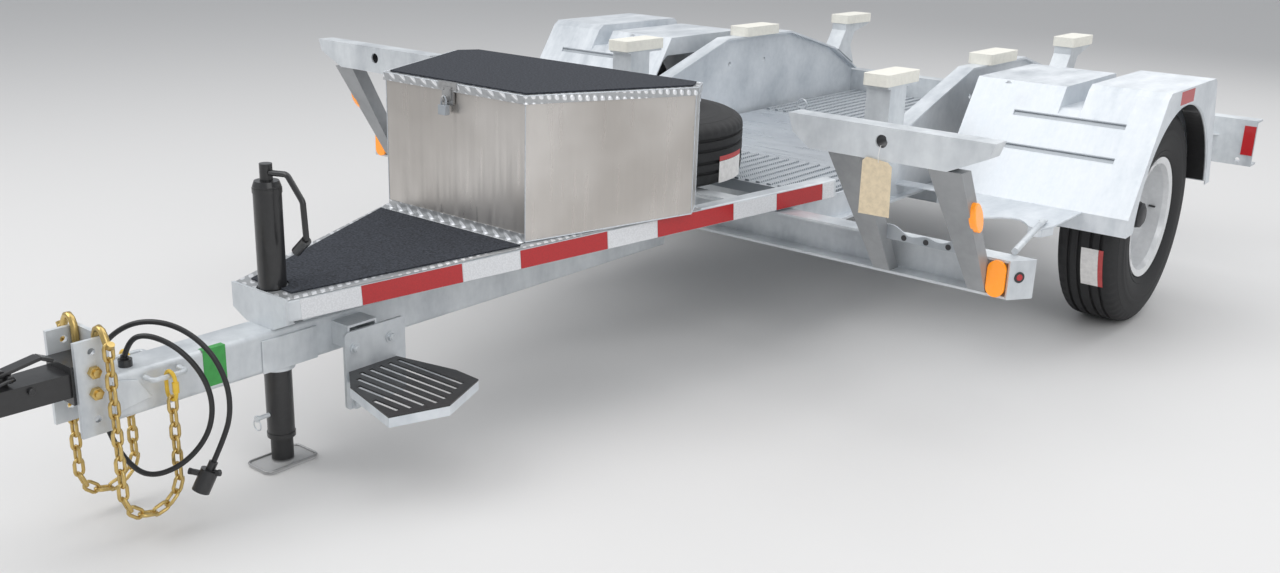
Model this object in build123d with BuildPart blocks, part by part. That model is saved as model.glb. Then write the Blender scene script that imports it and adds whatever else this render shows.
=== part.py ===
# Off-road equipment trailer: single axle, A-frame tongue, toolbox, pad carriers, fenders.
# Millimetres. +X is the trailer's left, -Y its front, +Z up, ground at Z = 0.
from build123d import *
import math
import os

os.makedirs("parts", exist_ok=True)

# Driving dimensions
AXLE_Y = 1150
HALF_WIDTH = 1295
SHEET = 4
PLATE = 8
GAP = 0.3

TYRE_R = 368
TYRE_W = 210
TYRE_X = 1145
RIM_R = 190
RIM_LIP_R = 206
HUB_R = 62
AXLE_Z = TYRE_R
BEAM = 76
BEAM_Y = AXLE_Y - 150
ARM_X = 975

TUBE = 102
TUBE_WALL = 6
TUBE_TOP = 368
TUBE_FRONT = AXLE_Y - 3090
CROSS_FRONT = AXLE_Y - 1266
CROSS_DEPTH = 68
CROSS_LOW = 380
CROSS_TOP = 486
CROSS_END = 49
CROSS_HALF = HALF_WIDTH - CROSS_END

CHANNEL_HALF = 60
CHANNEL_LOW = 255
CHANNEL_HIGH = 466
CHANNEL_DEPTH = 74
CHANNEL_WALL = 10
BOLT_ZS = (349, 396)
BALL_R = 29.4
NOSE_Y = AXLE_Y - 3380
HEAD_Z = 372

JACK_Y = AXLE_Y - 2640
JACK_R = 33
JACK_TOP = 700
JACK_LOW = 72
LEG_R = 27
FOOT = (92, 152, 6)

RAIL_H = 57
RAIL_W = 51
RAIL_FRONT = (98, AXLE_Y - 2674, 450)
RAIL_REAR = (600, AXLE_Y - 1050, 560)

BOX_FRONT = AXLE_Y - 2047
BOX_BEND = AXLE_Y - 1705
BOX_BACK = AXLE_Y - 1532
BOX_FRONT_HALF = 258
BOX_BACK_HALF = 430
BOX_WALL = 3
BOX_TOP = 845
LID_H = 33
LID_OVERHANG = 8

SPARE_X = -115
SPARE_Y = AXLE_Y - 1158
SPARE_LOW = 492

SIDE_X = 531
SIDE_LOW = 400
SIDE_WALL = 8
FLANGE_W = 60
PAD_X = 92
PAD_H = 38
PAD_LOW = 800
DECK_TOP = 486

FENDER_IN = 660
FENDER_LIP = AXLE_Y - 455
LIP_LOW = 394
LIP_HIGH = 451
SLOPE = 56
SHELF_Z = 735
HUMP_X = 1040
HUMP_Z = 815
HUMP_BACK = AXLE_Y + 300
REAR_Y = AXLE_Y + 440
REAR_LOW = 430
BOX_STEP_X = 967
BOX_STEP_Z = 800
ARCH_R = 392

BUMPER_Y = AXLE_Y + 1048
BUMPER_DEPTH = 76
BUMPER_LOW = 392
BUMPER_TOP = 575

V_FACE = AXLE_Y - 1498
V_WIDTH = 578
V_OUT = HALF_WIDTH - 27
V_IN = V_OUT - V_WIDTH
V_EYE_X = V_OUT - 300
V_TOP = 829
V_LOW = 743
V_DEPTH = 64

SIDES = (("left", 1), ("right", -1))


def save(shape, name):
    shape.label = name
    export_step(shape, f"parts/{name}.step")


def plate(plane, outline, thick, holes=()):
    """A flat plate: outline points on a plane, grown by thick; holes are (x, y, radius)."""
    with BuildPart() as piece:
        with BuildSketch(plane):
            with BuildLine():
                Polyline(*outline, close=True)
            make_face()
            for x, y, r in holes:
                with Locations((x, y)):
                    Circle(r, mode=Mode.SUBTRACT)
        extrude(amount=thick)
    return piece.part


# Tongue tube, from the coupler channel back to the front cross-member.
TUBE_LENGTH = CROSS_FRONT + CROSS_DEPTH + 30 - TUBE_FRONT
with BuildPart() as tongue_tube:
    with BuildSketch(Plane(origin=(0, TUBE_FRONT, TUBE_TOP - TUBE / 2), x_dir=(1, 0, 0), z_dir=(0, 1, 0))):
        RectangleRounded(TUBE, TUBE, 12)
        RectangleRounded(TUBE - 2 * TUBE_WALL, TUBE - 2 * TUBE_WALL, 6, mode=Mode.SUBTRACT)
    extrude(amount=TUBE_LENGTH)
    with BuildSketch(Plane.XY.offset(TUBE_TOP - TUBE - 20)):
        with Locations((0, JACK_Y)):
            Circle(JACK_R + 9)
    extrude(amount=TUBE + 40, mode=Mode.SUBTRACT)
save(tongue_tube.part, "tongue_tube")

# Jack sleeve, welded through the tongue.
SLEEVE_R = JACK_R + 9
with BuildPart() as jack_sleeve:
    with BuildSketch(Plane.XY.offset(TUBE_TOP - TUBE - 14)):
        with Locations((0, JACK_Y)):
            Circle(SLEEVE_R)
            Circle(JACK_R + GAP, mode=Mode.SUBTRACT)
    extrude(amount=TUBE + 14)
save(jack_sleeve.part, "jack_sleeve")

# Height-adjusting channel on the tongue's nose, flanges forward.
with BuildPart() as coupler_channel:
    with BuildSketch(Plane.XY.offset(CHANNEL_LOW)):
        with Locations((0, TUBE_FRONT - CHANNEL_DEPTH / 2)):
            Rectangle(2 * CHANNEL_HALF, CHANNEL_DEPTH)
        with Locations((0, TUBE_FRONT - CHANNEL_DEPTH / 2 - CHANNEL_WALL / 2)):
            inner = 2 * (CHANNEL_HALF - CHANNEL_WALL)
            Rectangle(inner, CHANNEL_DEPTH - CHANNEL_WALL, mode=Mode.SUBTRACT)
    extrude(amount=CHANNEL_HIGH - CHANNEL_LOW)
    with Locations(*[Location((0, TUBE_FRONT - 38, z), (0, 90, 0)) for z in (290, 349, 396, 440)]):
        Hole(8)
save(coupler_channel.part, "coupler_channel")

# Cast ball coupler: shank between the flanges, tapering to a round nose with a socket.
SHANK_HALF = CHANNEL_HALF - CHANNEL_WALL - GAP
with BuildPart() as coupler_head:
    with BuildSketch(Plane.XY.offset(HEAD_Z - 42)):
        with Locations((0, TUBE_FRONT - 50)):
            Rectangle(2 * SHANK_HALF, 60)
    extrude(amount=84)
    with BuildSketch(Plane.XY.offset(HEAD_Z - 26)):
        with BuildLine():
            Polyline((-44, TUBE_FRONT - 78), (44, TUBE_FRONT - 78), (34, NOSE_Y), (-34, NOSE_Y), close=True)
        make_face()
        with Locations((0, NOSE_Y)):
            Circle(44)
    extrude(amount=52)
    with Locations((0, NOSE_Y, HEAD_Z - 26)):
        Sphere(BALL_R, mode=Mode.SUBTRACT)
    with Locations(*[Location((0, TUBE_FRONT - 38, z), (0, 90, 0)) for z in BOLT_ZS]):
        Hole(8)
save(coupler_head.part, "coupler_head")

with BuildPart() as coupler_latch:
    with BuildSketch(Plane.YZ.offset(-9)):
        with BuildLine():
            y0 = NOSE_Y + 30
            z0 = HEAD_Z + 26
            Polyline((y0, z0), (y0 + 70, z0), (y0 + 82, z0 + 24), (y0 + 34, z0 + 42),
                     (y0 + 8, z0 + 26), close=True)
        make_face()
    extrude(amount=18)
save(coupler_latch.part, "coupler_latch")

# Two cross bolts hold the coupler in the channel.
with BuildPart() as coupler_bolts:
    for z in BOLT_ZS:
        with BuildSketch(Plane.YZ.offset(-CHANNEL_HALF - 16)):
            with Locations((TUBE_FRONT - 38, z)):
                Circle(8 - GAP)
        extrude(amount=2 * CHANNEL_HALF + 32)
        for x in (-CHANNEL_HALF - 11, CHANNEL_HALF + GAP):
            with BuildSketch(Plane.YZ.offset(x)):
                with Locations((TUBE_FRONT - 38, z)):
                    RegularPolygon(14, 6)
            extrude(amount=11 - GAP)
save(coupler_bolts.part, "coupler_bolts")

# Jack: fixed outer tube, crank handle, sliding leg on a foot plate.
with BuildPart() as jack_tube:
    with BuildSketch(Plane.XY.offset(JACK_LOW)):
        with Locations((0, JACK_Y)):
            Circle(JACK_R)
            Circle(LEG_R + 1, mode=Mode.SUBTRACT)
    extrude(amount=JACK_TOP - JACK_LOW)
    with BuildSketch(Plane.XY.offset(JACK_TOP)):
        with Locations((0, JACK_Y)):
            Circle(JACK_R)
    extrude(amount=12, taper=20)
    with BuildSketch(Plane.XY.offset(JACK_TOP + 12)):
        with Locations((0, JACK_Y)):
            Circle(15)
    extrude(amount=40)
save(jack_tube.part, "jack_tube")

CRANK_Z = JACK_TOP + 40
with BuildPart() as jack_handle:
    with BuildLine() as crank:
        FilletPolyline(
            (16 + GAP, JACK_Y, CRANK_Z - 8), (70, JACK_Y + 6, CRANK_Z - 4), (118, JACK_Y + 10, CRANK_Z - 60),
            (122, JACK_Y + 12, CRANK_Z - 150), radius=18)
    with BuildSketch(Plane(origin=crank.line @ 0, z_dir=crank.line % 0)):
        Circle(7)
    sweep()
    with BuildSketch(Plane(origin=crank.line @ 1, z_dir=(-0.75, 0, -0.66))):
        Circle(12)
    extrude(amount=52)
save(jack_handle.part, "jack_handle")

with BuildPart() as jack_leg:
    with BuildSketch(Plane.XY.offset(FOOT[2])):
        with Locations((0, JACK_Y)):
            Circle(LEG_R)
    extrude(amount=JACK_TOP - 60 - FOOT[2])
    with BuildSketch(Plane.XY):
        with Locations((0, JACK_Y)):
            RectangleRounded(FOOT[0], FOOT[1], 22)
    extrude(amount=FOOT[2])
save(jack_leg.part, "jack_leg")

# A-frame rails climb and spread from the front plate to the cross-member.
rail_run = Vector(*RAIL_REAR) - Vector(*RAIL_FRONT)
for side, s in SIDES:
    start = Vector(s * RAIL_FRONT[0], RAIL_FRONT[1], RAIL_FRONT[2])
    along = Vector(s * rail_run.X, rail_run.Y, rail_run.Z).normalized()
    across = Vector(s * along.Y, -s * along.X, 0).normalized()
    upward = along.cross(across) * -s
    middle = start - across * (RAIL_W / 2) - upward * (RAIL_H / 2)
    with BuildPart() as rail:
        with BuildSketch(Plane(origin=middle, x_dir=across, z_dir=along)):
            RectangleRounded(RAIL_W, RAIL_H, 8)
            RectangleRounded(RAIL_W - 10, RAIL_H - 10, 4, mode=Mode.SUBTRACT)
        extrude(amount=rail_run.length)
    save(rail.part, f"a_frame_rail_{side}")

# Sloping deck plane that the rails' tops make.
climb = rail_run.Z / rail_run.Y
DECK = Plane(origin=(0, RAIL_FRONT[1], RAIL_FRONT[2]), x_dir=(1, 0, 0), z_dir=Vector(0, -climb, 1))
slope_scale = math.sqrt(1 + climb * climb)


def rail_edge(y):
    """Half width of the rails' outer edge at y."""
    return RAIL_FRONT[0] + rail_run.X * (y - RAIL_FRONT[1]) / rail_run.Y


def on_deck(x, y):
    """A point of the sloping deck, from its plan place."""
    return (x, (y - RAIL_FRONT[1]) * slope_scale)


front_y = RAIL_FRONT[1]
front_plate = plate(
    Plane(origin=(0, front_y - GAP, 0), x_dir=(1, 0, 0), z_dir=(0, -1, 0)),
    [(-104, RAIL_FRONT[2] + 4), (104, RAIL_FRONT[2] + 4), (104, TUBE_TOP + 24), (52, TUBE_TOP + GAP),
     (-52, TUBE_TOP + GAP), (-104, TUBE_TOP + 24)], PLATE)

# Pedestal under the front of the deck.
with BuildPart() as tongue_pedestal:
    with BuildSketch(Plane.XY.offset(TUBE_TOP + GAP)):
        with Locations((0, JACK_Y + SLEEVE_R + 84)):
            Rectangle(96, 160)
    extrude(amount=RAIL_FRONT[2] - RAIL_H - TUBE_TOP - 2 * GAP)
save(Compound([front_plate, tongue_pedestal.part]), "tongue_pedestal")

# Triangular deck ahead of the toolbox, with its mat.
deck_outline = [
    on_deck(-100, front_y + 2), on_deck(100, front_y + 2),
    on_deck(rail_edge(BOX_BACK) - 2, BOX_BACK), on_deck(2 - rail_edge(BOX_BACK), BOX_BACK)]
jack_hole = (*on_deck(0, JACK_Y), JACK_R + 5)
save(plate(DECK.offset(GAP), deck_outline, 3, [jack_hole]), "tongue_deck")
mat_edge = 22
mat_outline = [
    on_deck(-100 + mat_edge, front_y + 30), on_deck(100 - mat_edge, front_y + 30),
    on_deck(rail_edge(BOX_FRONT) - mat_edge, BOX_FRONT - 30),
    on_deck(mat_edge - rail_edge(BOX_FRONT), BOX_FRONT - 30)]
save(plate(DECK.offset(GAP + 3), mat_outline, 4, [jack_hole]), "tongue_mat")

# Toolbox: hexagonal plan, open body with real walls, lid hinged at the back.


def box_plan(grow):
    return [
        (-BOX_FRONT_HALF - grow, BOX_FRONT - grow), (BOX_FRONT_HALF + grow, BOX_FRONT - grow),
        (BOX_BACK_HALF + grow, BOX_BEND - grow), (BOX_BACK_HALF + grow, BOX_BACK + grow),
        (-BOX_BACK_HALF - grow, BOX_BACK + grow), (-BOX_BACK_HALF - grow, BOX_BEND - grow)]


BOX_FLOOR = 440
BOX_RIM = BOX_TOP + LID_H - BOX_WALL - GAP
with BuildPart() as toolbox_body:
    with BuildSketch(Plane.XY.offset(BOX_FLOOR)):
        with BuildLine():
            Polyline(*box_plan(0), close=True)
        make_face()
    extrude(amount=BOX_RIM - BOX_FLOOR)
    split(bisect_by=DECK.offset(2 * GAP + 3), keep=Keep.TOP)
toolbox_outer = toolbox_body.part
with BuildPart() as toolbox_space:
    with BuildSketch(Plane.XY.offset(BOX_FLOOR)):
        with BuildLine():
            Polyline(*box_plan(-BOX_WALL), close=True)
        make_face()
    extrude(amount=BOX_RIM - BOX_FLOOR + 5)
    split(bisect_by=DECK.offset(2 * GAP + 3 + BOX_WALL), keep=Keep.TOP)
save(toolbox_outer - toolbox_space.part, "toolbox_body")

with BuildPart() as toolbox_lid:
    with BuildSketch(Plane.XY.offset(BOX_TOP - 20)):
        with BuildLine():
            Polyline(*box_plan(LID_OVERHANG), close=True)
        make_face()
    extrude(amount=20 + LID_H)
    with BuildSketch(Plane.XY.offset(BOX_TOP - 21)):
        with BuildLine():
            Polyline(*box_plan(LID_OVERHANG - BOX_WALL), close=True)
        make_face()
    extrude(amount=21 + LID_H - BOX_WALL, mode=Mode.SUBTRACT)
save(toolbox_lid.part, "toolbox_lid")

with BuildPart() as toolbox_lid_mat:
    with BuildSketch(Plane.XY.offset(BOX_TOP + LID_H + GAP)):
        with BuildLine():
            Polyline(*box_plan(-14), close=True)
        make_face()
    extrude(amount=4)
save(toolbox_lid_mat.part, "toolbox_lid_mat")

with BuildPart() as toolbox_hasp:
    with BuildSketch(Plane(origin=(0, BOX_FRONT - LID_OVERHANG - GAP, 0), x_dir=(1, 0, 0), z_dir=(0, -1, 0))):
        with Locations((-10, BOX_TOP - 2)):
            RectangleRounded(42, 46, 6)
    extrude(amount=6)
    with BuildSketch(Plane(origin=(0, BOX_FRONT - LID_OVERHANG - 6, 0), x_dir=(1, 0, 0), z_dir=(0, -1, 0))):
        with Locations((-10, BOX_TOP - 8)):
            Circle(9)
    extrude(amount=16)
save(toolbox_hasp.part, "toolbox_hasp")


def tyre(origin, axis):
    """Tyre turned about its own axis: tread, shoulders, side walls and bead."""
    half = TYRE_W / 2
    with BuildPart() as body:
        with BuildSketch(Plane(origin=origin, x_dir=Vector(*axis), z_dir=_across(axis))):
            with BuildLine():
                side = [(half - 27.4, RIM_R - 4 + GAP), (half - 22.4, RIM_LIP_R + GAP),
                        (half - 11, RIM_LIP_R + 12), (half - 3, RIM_LIP_R + 42),
                        (half, RIM_LIP_R + 76), (half - 12, TYRE_R - 26),
                        (half - 34, TYRE_R - 4), (half - 60, TYRE_R)]
                Polyline(*[(-x, r) for x, r in side], *reversed(side), close=True)
            make_face()
        revolve(axis=Axis(origin, axis), revolution_arc=360)
    return body.part


def wheel(origin, axis, face):
    """Steel wheel: rim barrel with lips, and a dished disc; face is +1 or -1 along the axis."""
    half = TYRE_W / 2
    with BuildPart() as body:
        with BuildSketch(Plane(origin=origin, x_dir=Vector(*axis), z_dir=_across(axis))):
            with BuildLine():
                rim = [(24, RIM_R - 10), (half - 27, RIM_R - 4), (half - 22, RIM_LIP_R),
                       (half - 14, RIM_LIP_R), (half - 18, RIM_R - 6), (half - 34, RIM_R - 12),
                       (24, RIM_R - 20)]
                Polyline(*rim, *[(-x, r) for x, r in reversed(rim)], close=True)
            make_face()
            with BuildLine():
                d = face * 14
                Polyline((-d, RIM_R - 16), (-d + face * 8, RIM_R - 16), (d, 120), (d - face * 6, HUB_R - 12),
                         (d - face * 14, HUB_R - 12), (d - face * 10, 118), close=True)
            make_face()
        revolve(axis=Axis(origin, axis), revolution_arc=360)
    return body.part


def _across(axis):
    """Normal of the sketch plane that holds the axis as x and a radius as y."""
    radius = Vector(0, 0, 1) if axis[2] == 0 else Vector(0, 1, 0)
    return Vector(*axis).cross(radius)


for side, s in SIDES:
    centre = (s * TYRE_X, AXLE_Y, AXLE_Z)
    save(tyre(centre, (1, 0, 0)), f"tyre_{side}")
    save(wheel(centre, (1, 0, 0), s), f"wheel_{side}")
    with BuildPart() as hub:
        with BuildSketch(Plane.YZ.offset(s * (TYRE_X - 60))):
            with Locations((AXLE_Y, AXLE_Z)):
                Circle(HUB_R - 14)
        extrude(amount=s * 94)
        with BuildSketch(Plane.YZ.offset(s * (TYRE_X - 22))):
            with Locations((AXLE_Y, AXLE_Z)):
                Circle(92)
        extrude(amount=s * (22 - GAP))
    save(hub.part, f"hub_{side}")

spare_centre = (SPARE_X, SPARE_Y, SPARE_LOW + TYRE_W / 2)
save(tyre(spare_centre, (0, 0, 1)), "spare_tyre")
save(wheel(spare_centre, (0, 0, 1), 1), "spare_wheel")

# Torsion axle: cross beam under the side plates, trailing arms with spindles.
with BuildPart() as axle_beam:
    with BuildSketch(Plane.YZ.offset(-ARM_X)):
        with Locations((BEAM_Y, SIDE_LOW - GAP - BEAM / 2)):
            RectangleRounded(BEAM, BEAM, 8)
            RectangleRounded(BEAM - 12, BEAM - 12, 4, mode=Mode.SUBTRACT)
    extrude(amount=2 * ARM_X)
save(axle_beam.part, "axle_beam")

with BuildPart() as torsion_arms:
    for s in (1, -1):
        with BuildSketch(Plane.YZ.offset(s * (ARM_X + GAP))):
            with BuildLine():
                Polyline((BEAM_Y - 40, AXLE_Z - 45), (AXLE_Y, AXLE_Z - 30), (AXLE_Y + 30, AXLE_Z),
                         (AXLE_Y, AXLE_Z + 30), (BEAM_Y - 40, AXLE_Z + 25), close=True)
            make_face()
        extrude(amount=s * 30)
        with BuildSketch(Plane.YZ.offset(s * ARM_X)):
            with Locations((AXLE_Y, AXLE_Z)):
                Circle(20)
        extrude(amount=s * (TYRE_X - 60 - GAP - ARM_X))
save(torsion_arms.part, "torsion_arms")

# Front cross-member: channel open forward, with slanted ends.
with BuildPart() as front_cross_member:
    with BuildSketch(Plane.YZ.offset(-CROSS_HALF)):
        with BuildLine():
            y1 = CROSS_FRONT + CROSS_DEPTH
            Polyline((CROSS_FRONT, CROSS_LOW), (y1, CROSS_LOW), (y1, CROSS_TOP), (CROSS_FRONT, CROSS_TOP),
                     (CROSS_FRONT, CROSS_TOP - 7), (y1 - 7, CROSS_TOP - 7), (y1 - 7, CROSS_LOW + 7),
                     (CROSS_FRONT, CROSS_LOW + 7), close=True)
        make_face()
    extrude(amount=2 * CROSS_HALF)
    with BuildSketch(Plane.XY.offset(TUBE_TOP + GAP)):
        with Locations((0, CROSS_FRONT + CROSS_DEPTH / 2)):
            Rectangle(TUBE + 40, CROSS_DEPTH)
    extrude(amount=CROSS_LOW - TUBE_TOP - GAP)
save(front_cross_member.part, "front_cross_member")

with BuildPart() as cross_member_ends:
    for side, s in SIDES:
        with BuildSketch(Plane.XY.offset(CROSS_LOW)):
            with BuildLine():
                Polyline((s * (CROSS_HALF + GAP), CROSS_FRONT), (s * (CROSS_HALF + 6), CROSS_FRONT - 3),
                         (s * HALF_WIDTH, CROSS_FRONT + CROSS_DEPTH - 8),
                         (s * HALF_WIDTH, CROSS_FRONT + CROSS_DEPTH),
                         (s * (CROSS_HALF + GAP), CROSS_FRONT + CROSS_DEPTH), close=True)
            make_face()
        extrude(amount=CROSS_TOP - CROSS_LOW)
save(cross_member_ends.part, "cross_member_ends")

# Rear bumper channel, full width, web to the front.
with BuildPart() as rear_bumper:
    with BuildSketch(Plane.YZ.offset(-HALF_WIDTH)):
        with BuildLine():
            y1 = BUMPER_Y + BUMPER_DEPTH
            Polyline((BUMPER_Y, BUMPER_LOW), (y1, BUMPER_LOW), (y1, BUMPER_LOW + PLATE),
                     (BUMPER_Y + PLATE, BUMPER_LOW + PLATE), (BUMPER_Y + PLATE, BUMPER_TOP - PLATE),
                     (y1, BUMPER_TOP - PLATE), (y1, BUMPER_TOP), (BUMPER_Y, BUMPER_TOP), close=True)
        make_face()
    extrude(amount=2 * HALF_WIDTH)
    with Locations(*[Location((x, BUMPER_Y, 414), (90, 0, 0)) for x in (-1242, 1242)]):
        Hole(9)
save(rear_bumper.part, "rear_bumper")

# Side plates: deep webs with a top flange, rising to a peak over the axle.
side_low = [(BUMPER_Y - GAP, SIDE_LOW), (CROSS_FRONT + CROSS_DEPTH + GAP, SIDE_LOW)]
side_top = [(CROSS_FRONT + CROSS_DEPTH + GAP, 484), (AXLE_Y - 760, 484), (AXLE_Y - 500, 655),
            (AXLE_Y - 40, PAD_LOW - GAP), (AXLE_Y + 440, PAD_LOW - GAP), (AXLE_Y + 830, 700),
            (BUMPER_Y - GAP, 590)]
flange_low = [(y, z - SIDE_WALL) for y, z in reversed(side_top[1:])]
for side, s in SIDES:
    with BuildPart() as side_plate:
        with BuildSketch(Plane.YZ.offset(s * SIDE_X - SIDE_WALL / 2)):
            with BuildLine():
                Polyline(*side_low, *side_top, close=True)
            make_face()
        extrude(amount=SIDE_WALL)
        with BuildSketch(Plane.YZ.offset(s * SIDE_X - FLANGE_W / 2)):
            with BuildLine():
                Polyline(*side_top[1:], *flange_low, close=True)
            make_face()
        extrude(amount=FLANGE_W)
        with BuildSketch(Plane.YZ.offset(s * SIDE_X - FLANGE_W / 2)):
            with Locations((AXLE_Y - 85, SIDE_LOW + SIDE_WALL / 2)):
                Rectangle(2200, SIDE_WALL)
        extrude(amount=FLANGE_W)
        with Locations(*[Location((s * SIDE_X, AXLE_Y + y, 690), (0, 90, 0)) for y in (10, 270)]):
            Hole(9)
    save(side_plate.part, f"side_plate_{side}")

# Six pads; posts carry the front and rear pairs, the side plates carry the middle pair.
PADS = (("front", -612, 224), ("middle", 192, 245), ("rear", 1012, 224))
POST_TOP = PAD_LOW - GAP
POST_FOOT = DECK_TOP + GAP
post_clearance = [(-790, 460), (-790, 484.6), (-760, 484.6), (-500, 655.6), (-380, 693.4), (-380, 460)]
post_bend = [(850, 690.5), (905, 770), (905, POST_TOP), (1120, POST_TOP), (1120, POST_TOP - 8), (990, 760),
             (960, 700), (1000, 614.7), (960, 634.9)]


def from_axle(points):
    return [(AXLE_Y + y, z) for y, z in points]


for side, s in SIDES:
    with BuildPart() as pads:
        for place, y, length in PADS:
            with BuildSketch(Plane.XY.offset(PAD_LOW)):
                with Locations((s * SIDE_X, AXLE_Y + y)):
                    RectangleRounded(PAD_X, length, 10)
            extrude(amount=PAD_H)
    save(pads.part, f"pads_{side}")
    with BuildPart() as pad_posts:
        with BuildSketch(Plane.XY.offset(POST_FOOT)):
            with Locations((s * SIDE_X, AXLE_Y - 640)):
                Rectangle(86, 110)
                with Locations((0, 12)):
                    Rectangle(74, 98, mode=Mode.SUBTRACT)
        extrude(amount=POST_TOP - 8 - POST_FOOT)
        with BuildSketch(Plane.XY.offset(POST_TOP - 8)):
            with Locations((s * SIDE_X, AXLE_Y - 612)):
                Rectangle(PAD_X - 6, 200)
        extrude(amount=8)
        with BuildSketch(Plane.YZ.offset(s * SIDE_X - FLANGE_W / 2 - GAP)):
            with BuildLine():
                Polyline(*from_axle(post_clearance), close=True)
            make_face()
        extrude(amount=FLANGE_W + 2 * GAP, mode=Mode.SUBTRACT)
        with BuildSketch(Plane.YZ.offset(s * SIDE_X - 36)):
            with BuildLine():
                Polyline(*from_axle(post_bend), close=True)
            make_face()
        extrude(amount=72)
    save(pad_posts.part, f"pad_posts_{side}")

# Deck: two serrated planks and a smooth plate between the side plates.
DECK_EDGE = 40
deck_half = SIDE_X - FLANGE_W / 2 - 2
DECK_SPANS = (
    ("grating_front", -980, -582, True),
    ("deck_plate", -580, 238, False),
    ("grating_rear", 240, 1040, True))
for name, y0, y1, ribbed in DECK_SPANS:
    with BuildPart() as panel:
        with BuildSketch(Plane.XY.offset(DECK_TOP - DECK_EDGE)):
            with Locations((0, AXLE_Y + (y0 + y1) / 2)):
                Rectangle(2 * deck_half, y1 - y0)
        extrude(amount=34)
        with BuildSketch(Plane.XY.offset(DECK_TOP - DECK_EDGE - 1)):
            with Locations((0, AXLE_Y + (y0 + y1) / 2)):
                Rectangle(2 * deck_half - 10, y1 - y0 - 10)
        extrude(amount=31, mode=Mode.SUBTRACT)
        if ribbed:
            with BuildSketch(Plane.XY.offset(DECK_TOP - 6)):
                with Locations((0, AXLE_Y + (y0 + y1) / 2)):
                    with GridLocations(2 * deck_half / 24, 0, 24, 1):
                        Rectangle(14, y1 - y0 - 20)
            extrude(amount=6)
    save(panel.part, name)

# Cross tubes tie the side plates below the deck.
with BuildPart() as deck_cross_tubes:
    tie_low = SIDE_LOW + SIDE_WALL + GAP
    tie_top = DECK_TOP - DECK_EDGE - GAP
    for y in (-900, -420, 420, 900):
        with BuildSketch(Plane.YZ.offset(-SIDE_X + SIDE_WALL / 2 + GAP)):
            with Locations((AXLE_Y + y, (tie_low + tie_top) / 2)):
                Rectangle(50, tie_top - tie_low)
                Rectangle(42, tie_top - tie_low - 8, mode=Mode.SUBTRACT)
        extrude(amount=2 * SIDE_X - SIDE_WALL - 2 * GAP)
save(deck_cross_tubes.part, "deck_cross_tubes")

# Spare carrier: cross strap on the cross-member, with a centre stud.
with BuildPart() as spare_carrier:
    with BuildSketch(Plane.XY.offset(CROSS_TOP + GAP)):
        with Locations((SPARE_X, SPARE_Y)):
            Rectangle(120, 640)
        with Locations((0, CROSS_FRONT + CROSS_DEPTH / 2)):
            Rectangle(960, 60)
    extrude(amount=SPARE_LOW - CROSS_TOP - 2 * GAP)
    with BuildSketch(Plane.XY.offset(SPARE_LOW - 1)):
        with Locations((SPARE_X, SPARE_Y)):
            Circle(14)
    extrude(amount=TYRE_W - 40)
save(spare_carrier.part, "spare_carrier")

# Fenders: bent sheet with steps, inner box, raised wheel hump and arched outer face.
run = math.cos(math.radians(SLOPE))
rise = math.sin(math.radians(SLOPE))


def slope_y(z):
    return FENDER_LIP + (z - LIP_HIGH) * run / rise


def fender_skin(top, rear):
    """Outer line of the bent sheet from the lip to the rear edge."""
    return [(FENDER_LIP, LIP_LOW), (FENDER_LIP, LIP_HIGH), (slope_y(top - 18), top - 18),
            (slope_y(top) + 14, top), (rear, top), (rear + 22, top - 16), (REAR_Y, REAR_LOW)]


def offset_down(points):
    return [(y + SHEET, z - SHEET) if i < 4 else (y - SHEET, z - SHEET * (i < 6))
            for i, (y, z) in enumerate(points)]


for side, s in SIDES:
    hump = fender_skin(HUMP_Z, HUMP_BACK)
    shelf = fender_skin(SHELF_Z, HUMP_BACK)
    inner_hump = offset_down(hump)
    inner_hump[0] = (FENDER_LIP + SHEET, LIP_LOW)
    inner_shelf = offset_down(shelf)
    inner_shelf[0] = (FENDER_LIP + SHEET, LIP_LOW)
    with BuildPart() as fender:
        with BuildSketch(Plane.YZ.offset(s * FENDER_IN)):
            with BuildLine():
                Polyline(*shelf, *reversed(inner_shelf), close=True)
            make_face()
        extrude(amount=s * (HUMP_X - FENDER_IN))
        with BuildSketch(Plane.YZ.offset(s * HUMP_X)):
            with BuildLine():
                Polyline(*hump, *reversed(inner_hump), close=True)
            make_face()
        extrude(amount=s * (HALF_WIDTH - HUMP_X))
        # outer face with the wheel arch
        with BuildSketch(Plane.YZ.offset(s * (HALF_WIDTH - SHEET))):
            with BuildLine():
                Polyline(*hump, close=True)
            make_face()
            with Locations((AXLE_Y, AXLE_Z)):
                Circle(ARCH_R, mode=Mode.SUBTRACT)
        extrude(amount=s * SHEET)
        # inner wall of the hump, above the shelf
        with BuildSketch(Plane.YZ.offset(s * HUMP_X)):
            with BuildLine():
                Polyline(*hump[2:], *reversed(inner_shelf[2:]), close=True)
            make_face()
        extrude(amount=s * SHEET)
        # raised inner box
        with BuildSketch(Plane.YZ.offset(s * FENDER_IN)):
            with BuildLine():
                Polyline(shelf[2], (slope_y(BOX_STEP_Z), BOX_STEP_Z), (HUMP_BACK - 40, BOX_STEP_Z),
                         (HUMP_BACK - 12, SHELF_Z - SHEET / 2),
                         (slope_y(SHELF_Z) + 18, SHELF_Z - SHEET / 2), close=True)
            make_face()
        extrude(amount=s * (BOX_STEP_X - FENDER_IN))
        # two step slots through the sloping front
        for z in (604, 704):
            with BuildSketch(Plane.XZ.offset(-(slope_y(z) + 60))):
                with Locations((s * 1008, z)):
                    Rectangle(370, 14)
            extrude(amount=120, mode=Mode.SUBTRACT)
    save(fender.part, f"fender_{side}")

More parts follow.
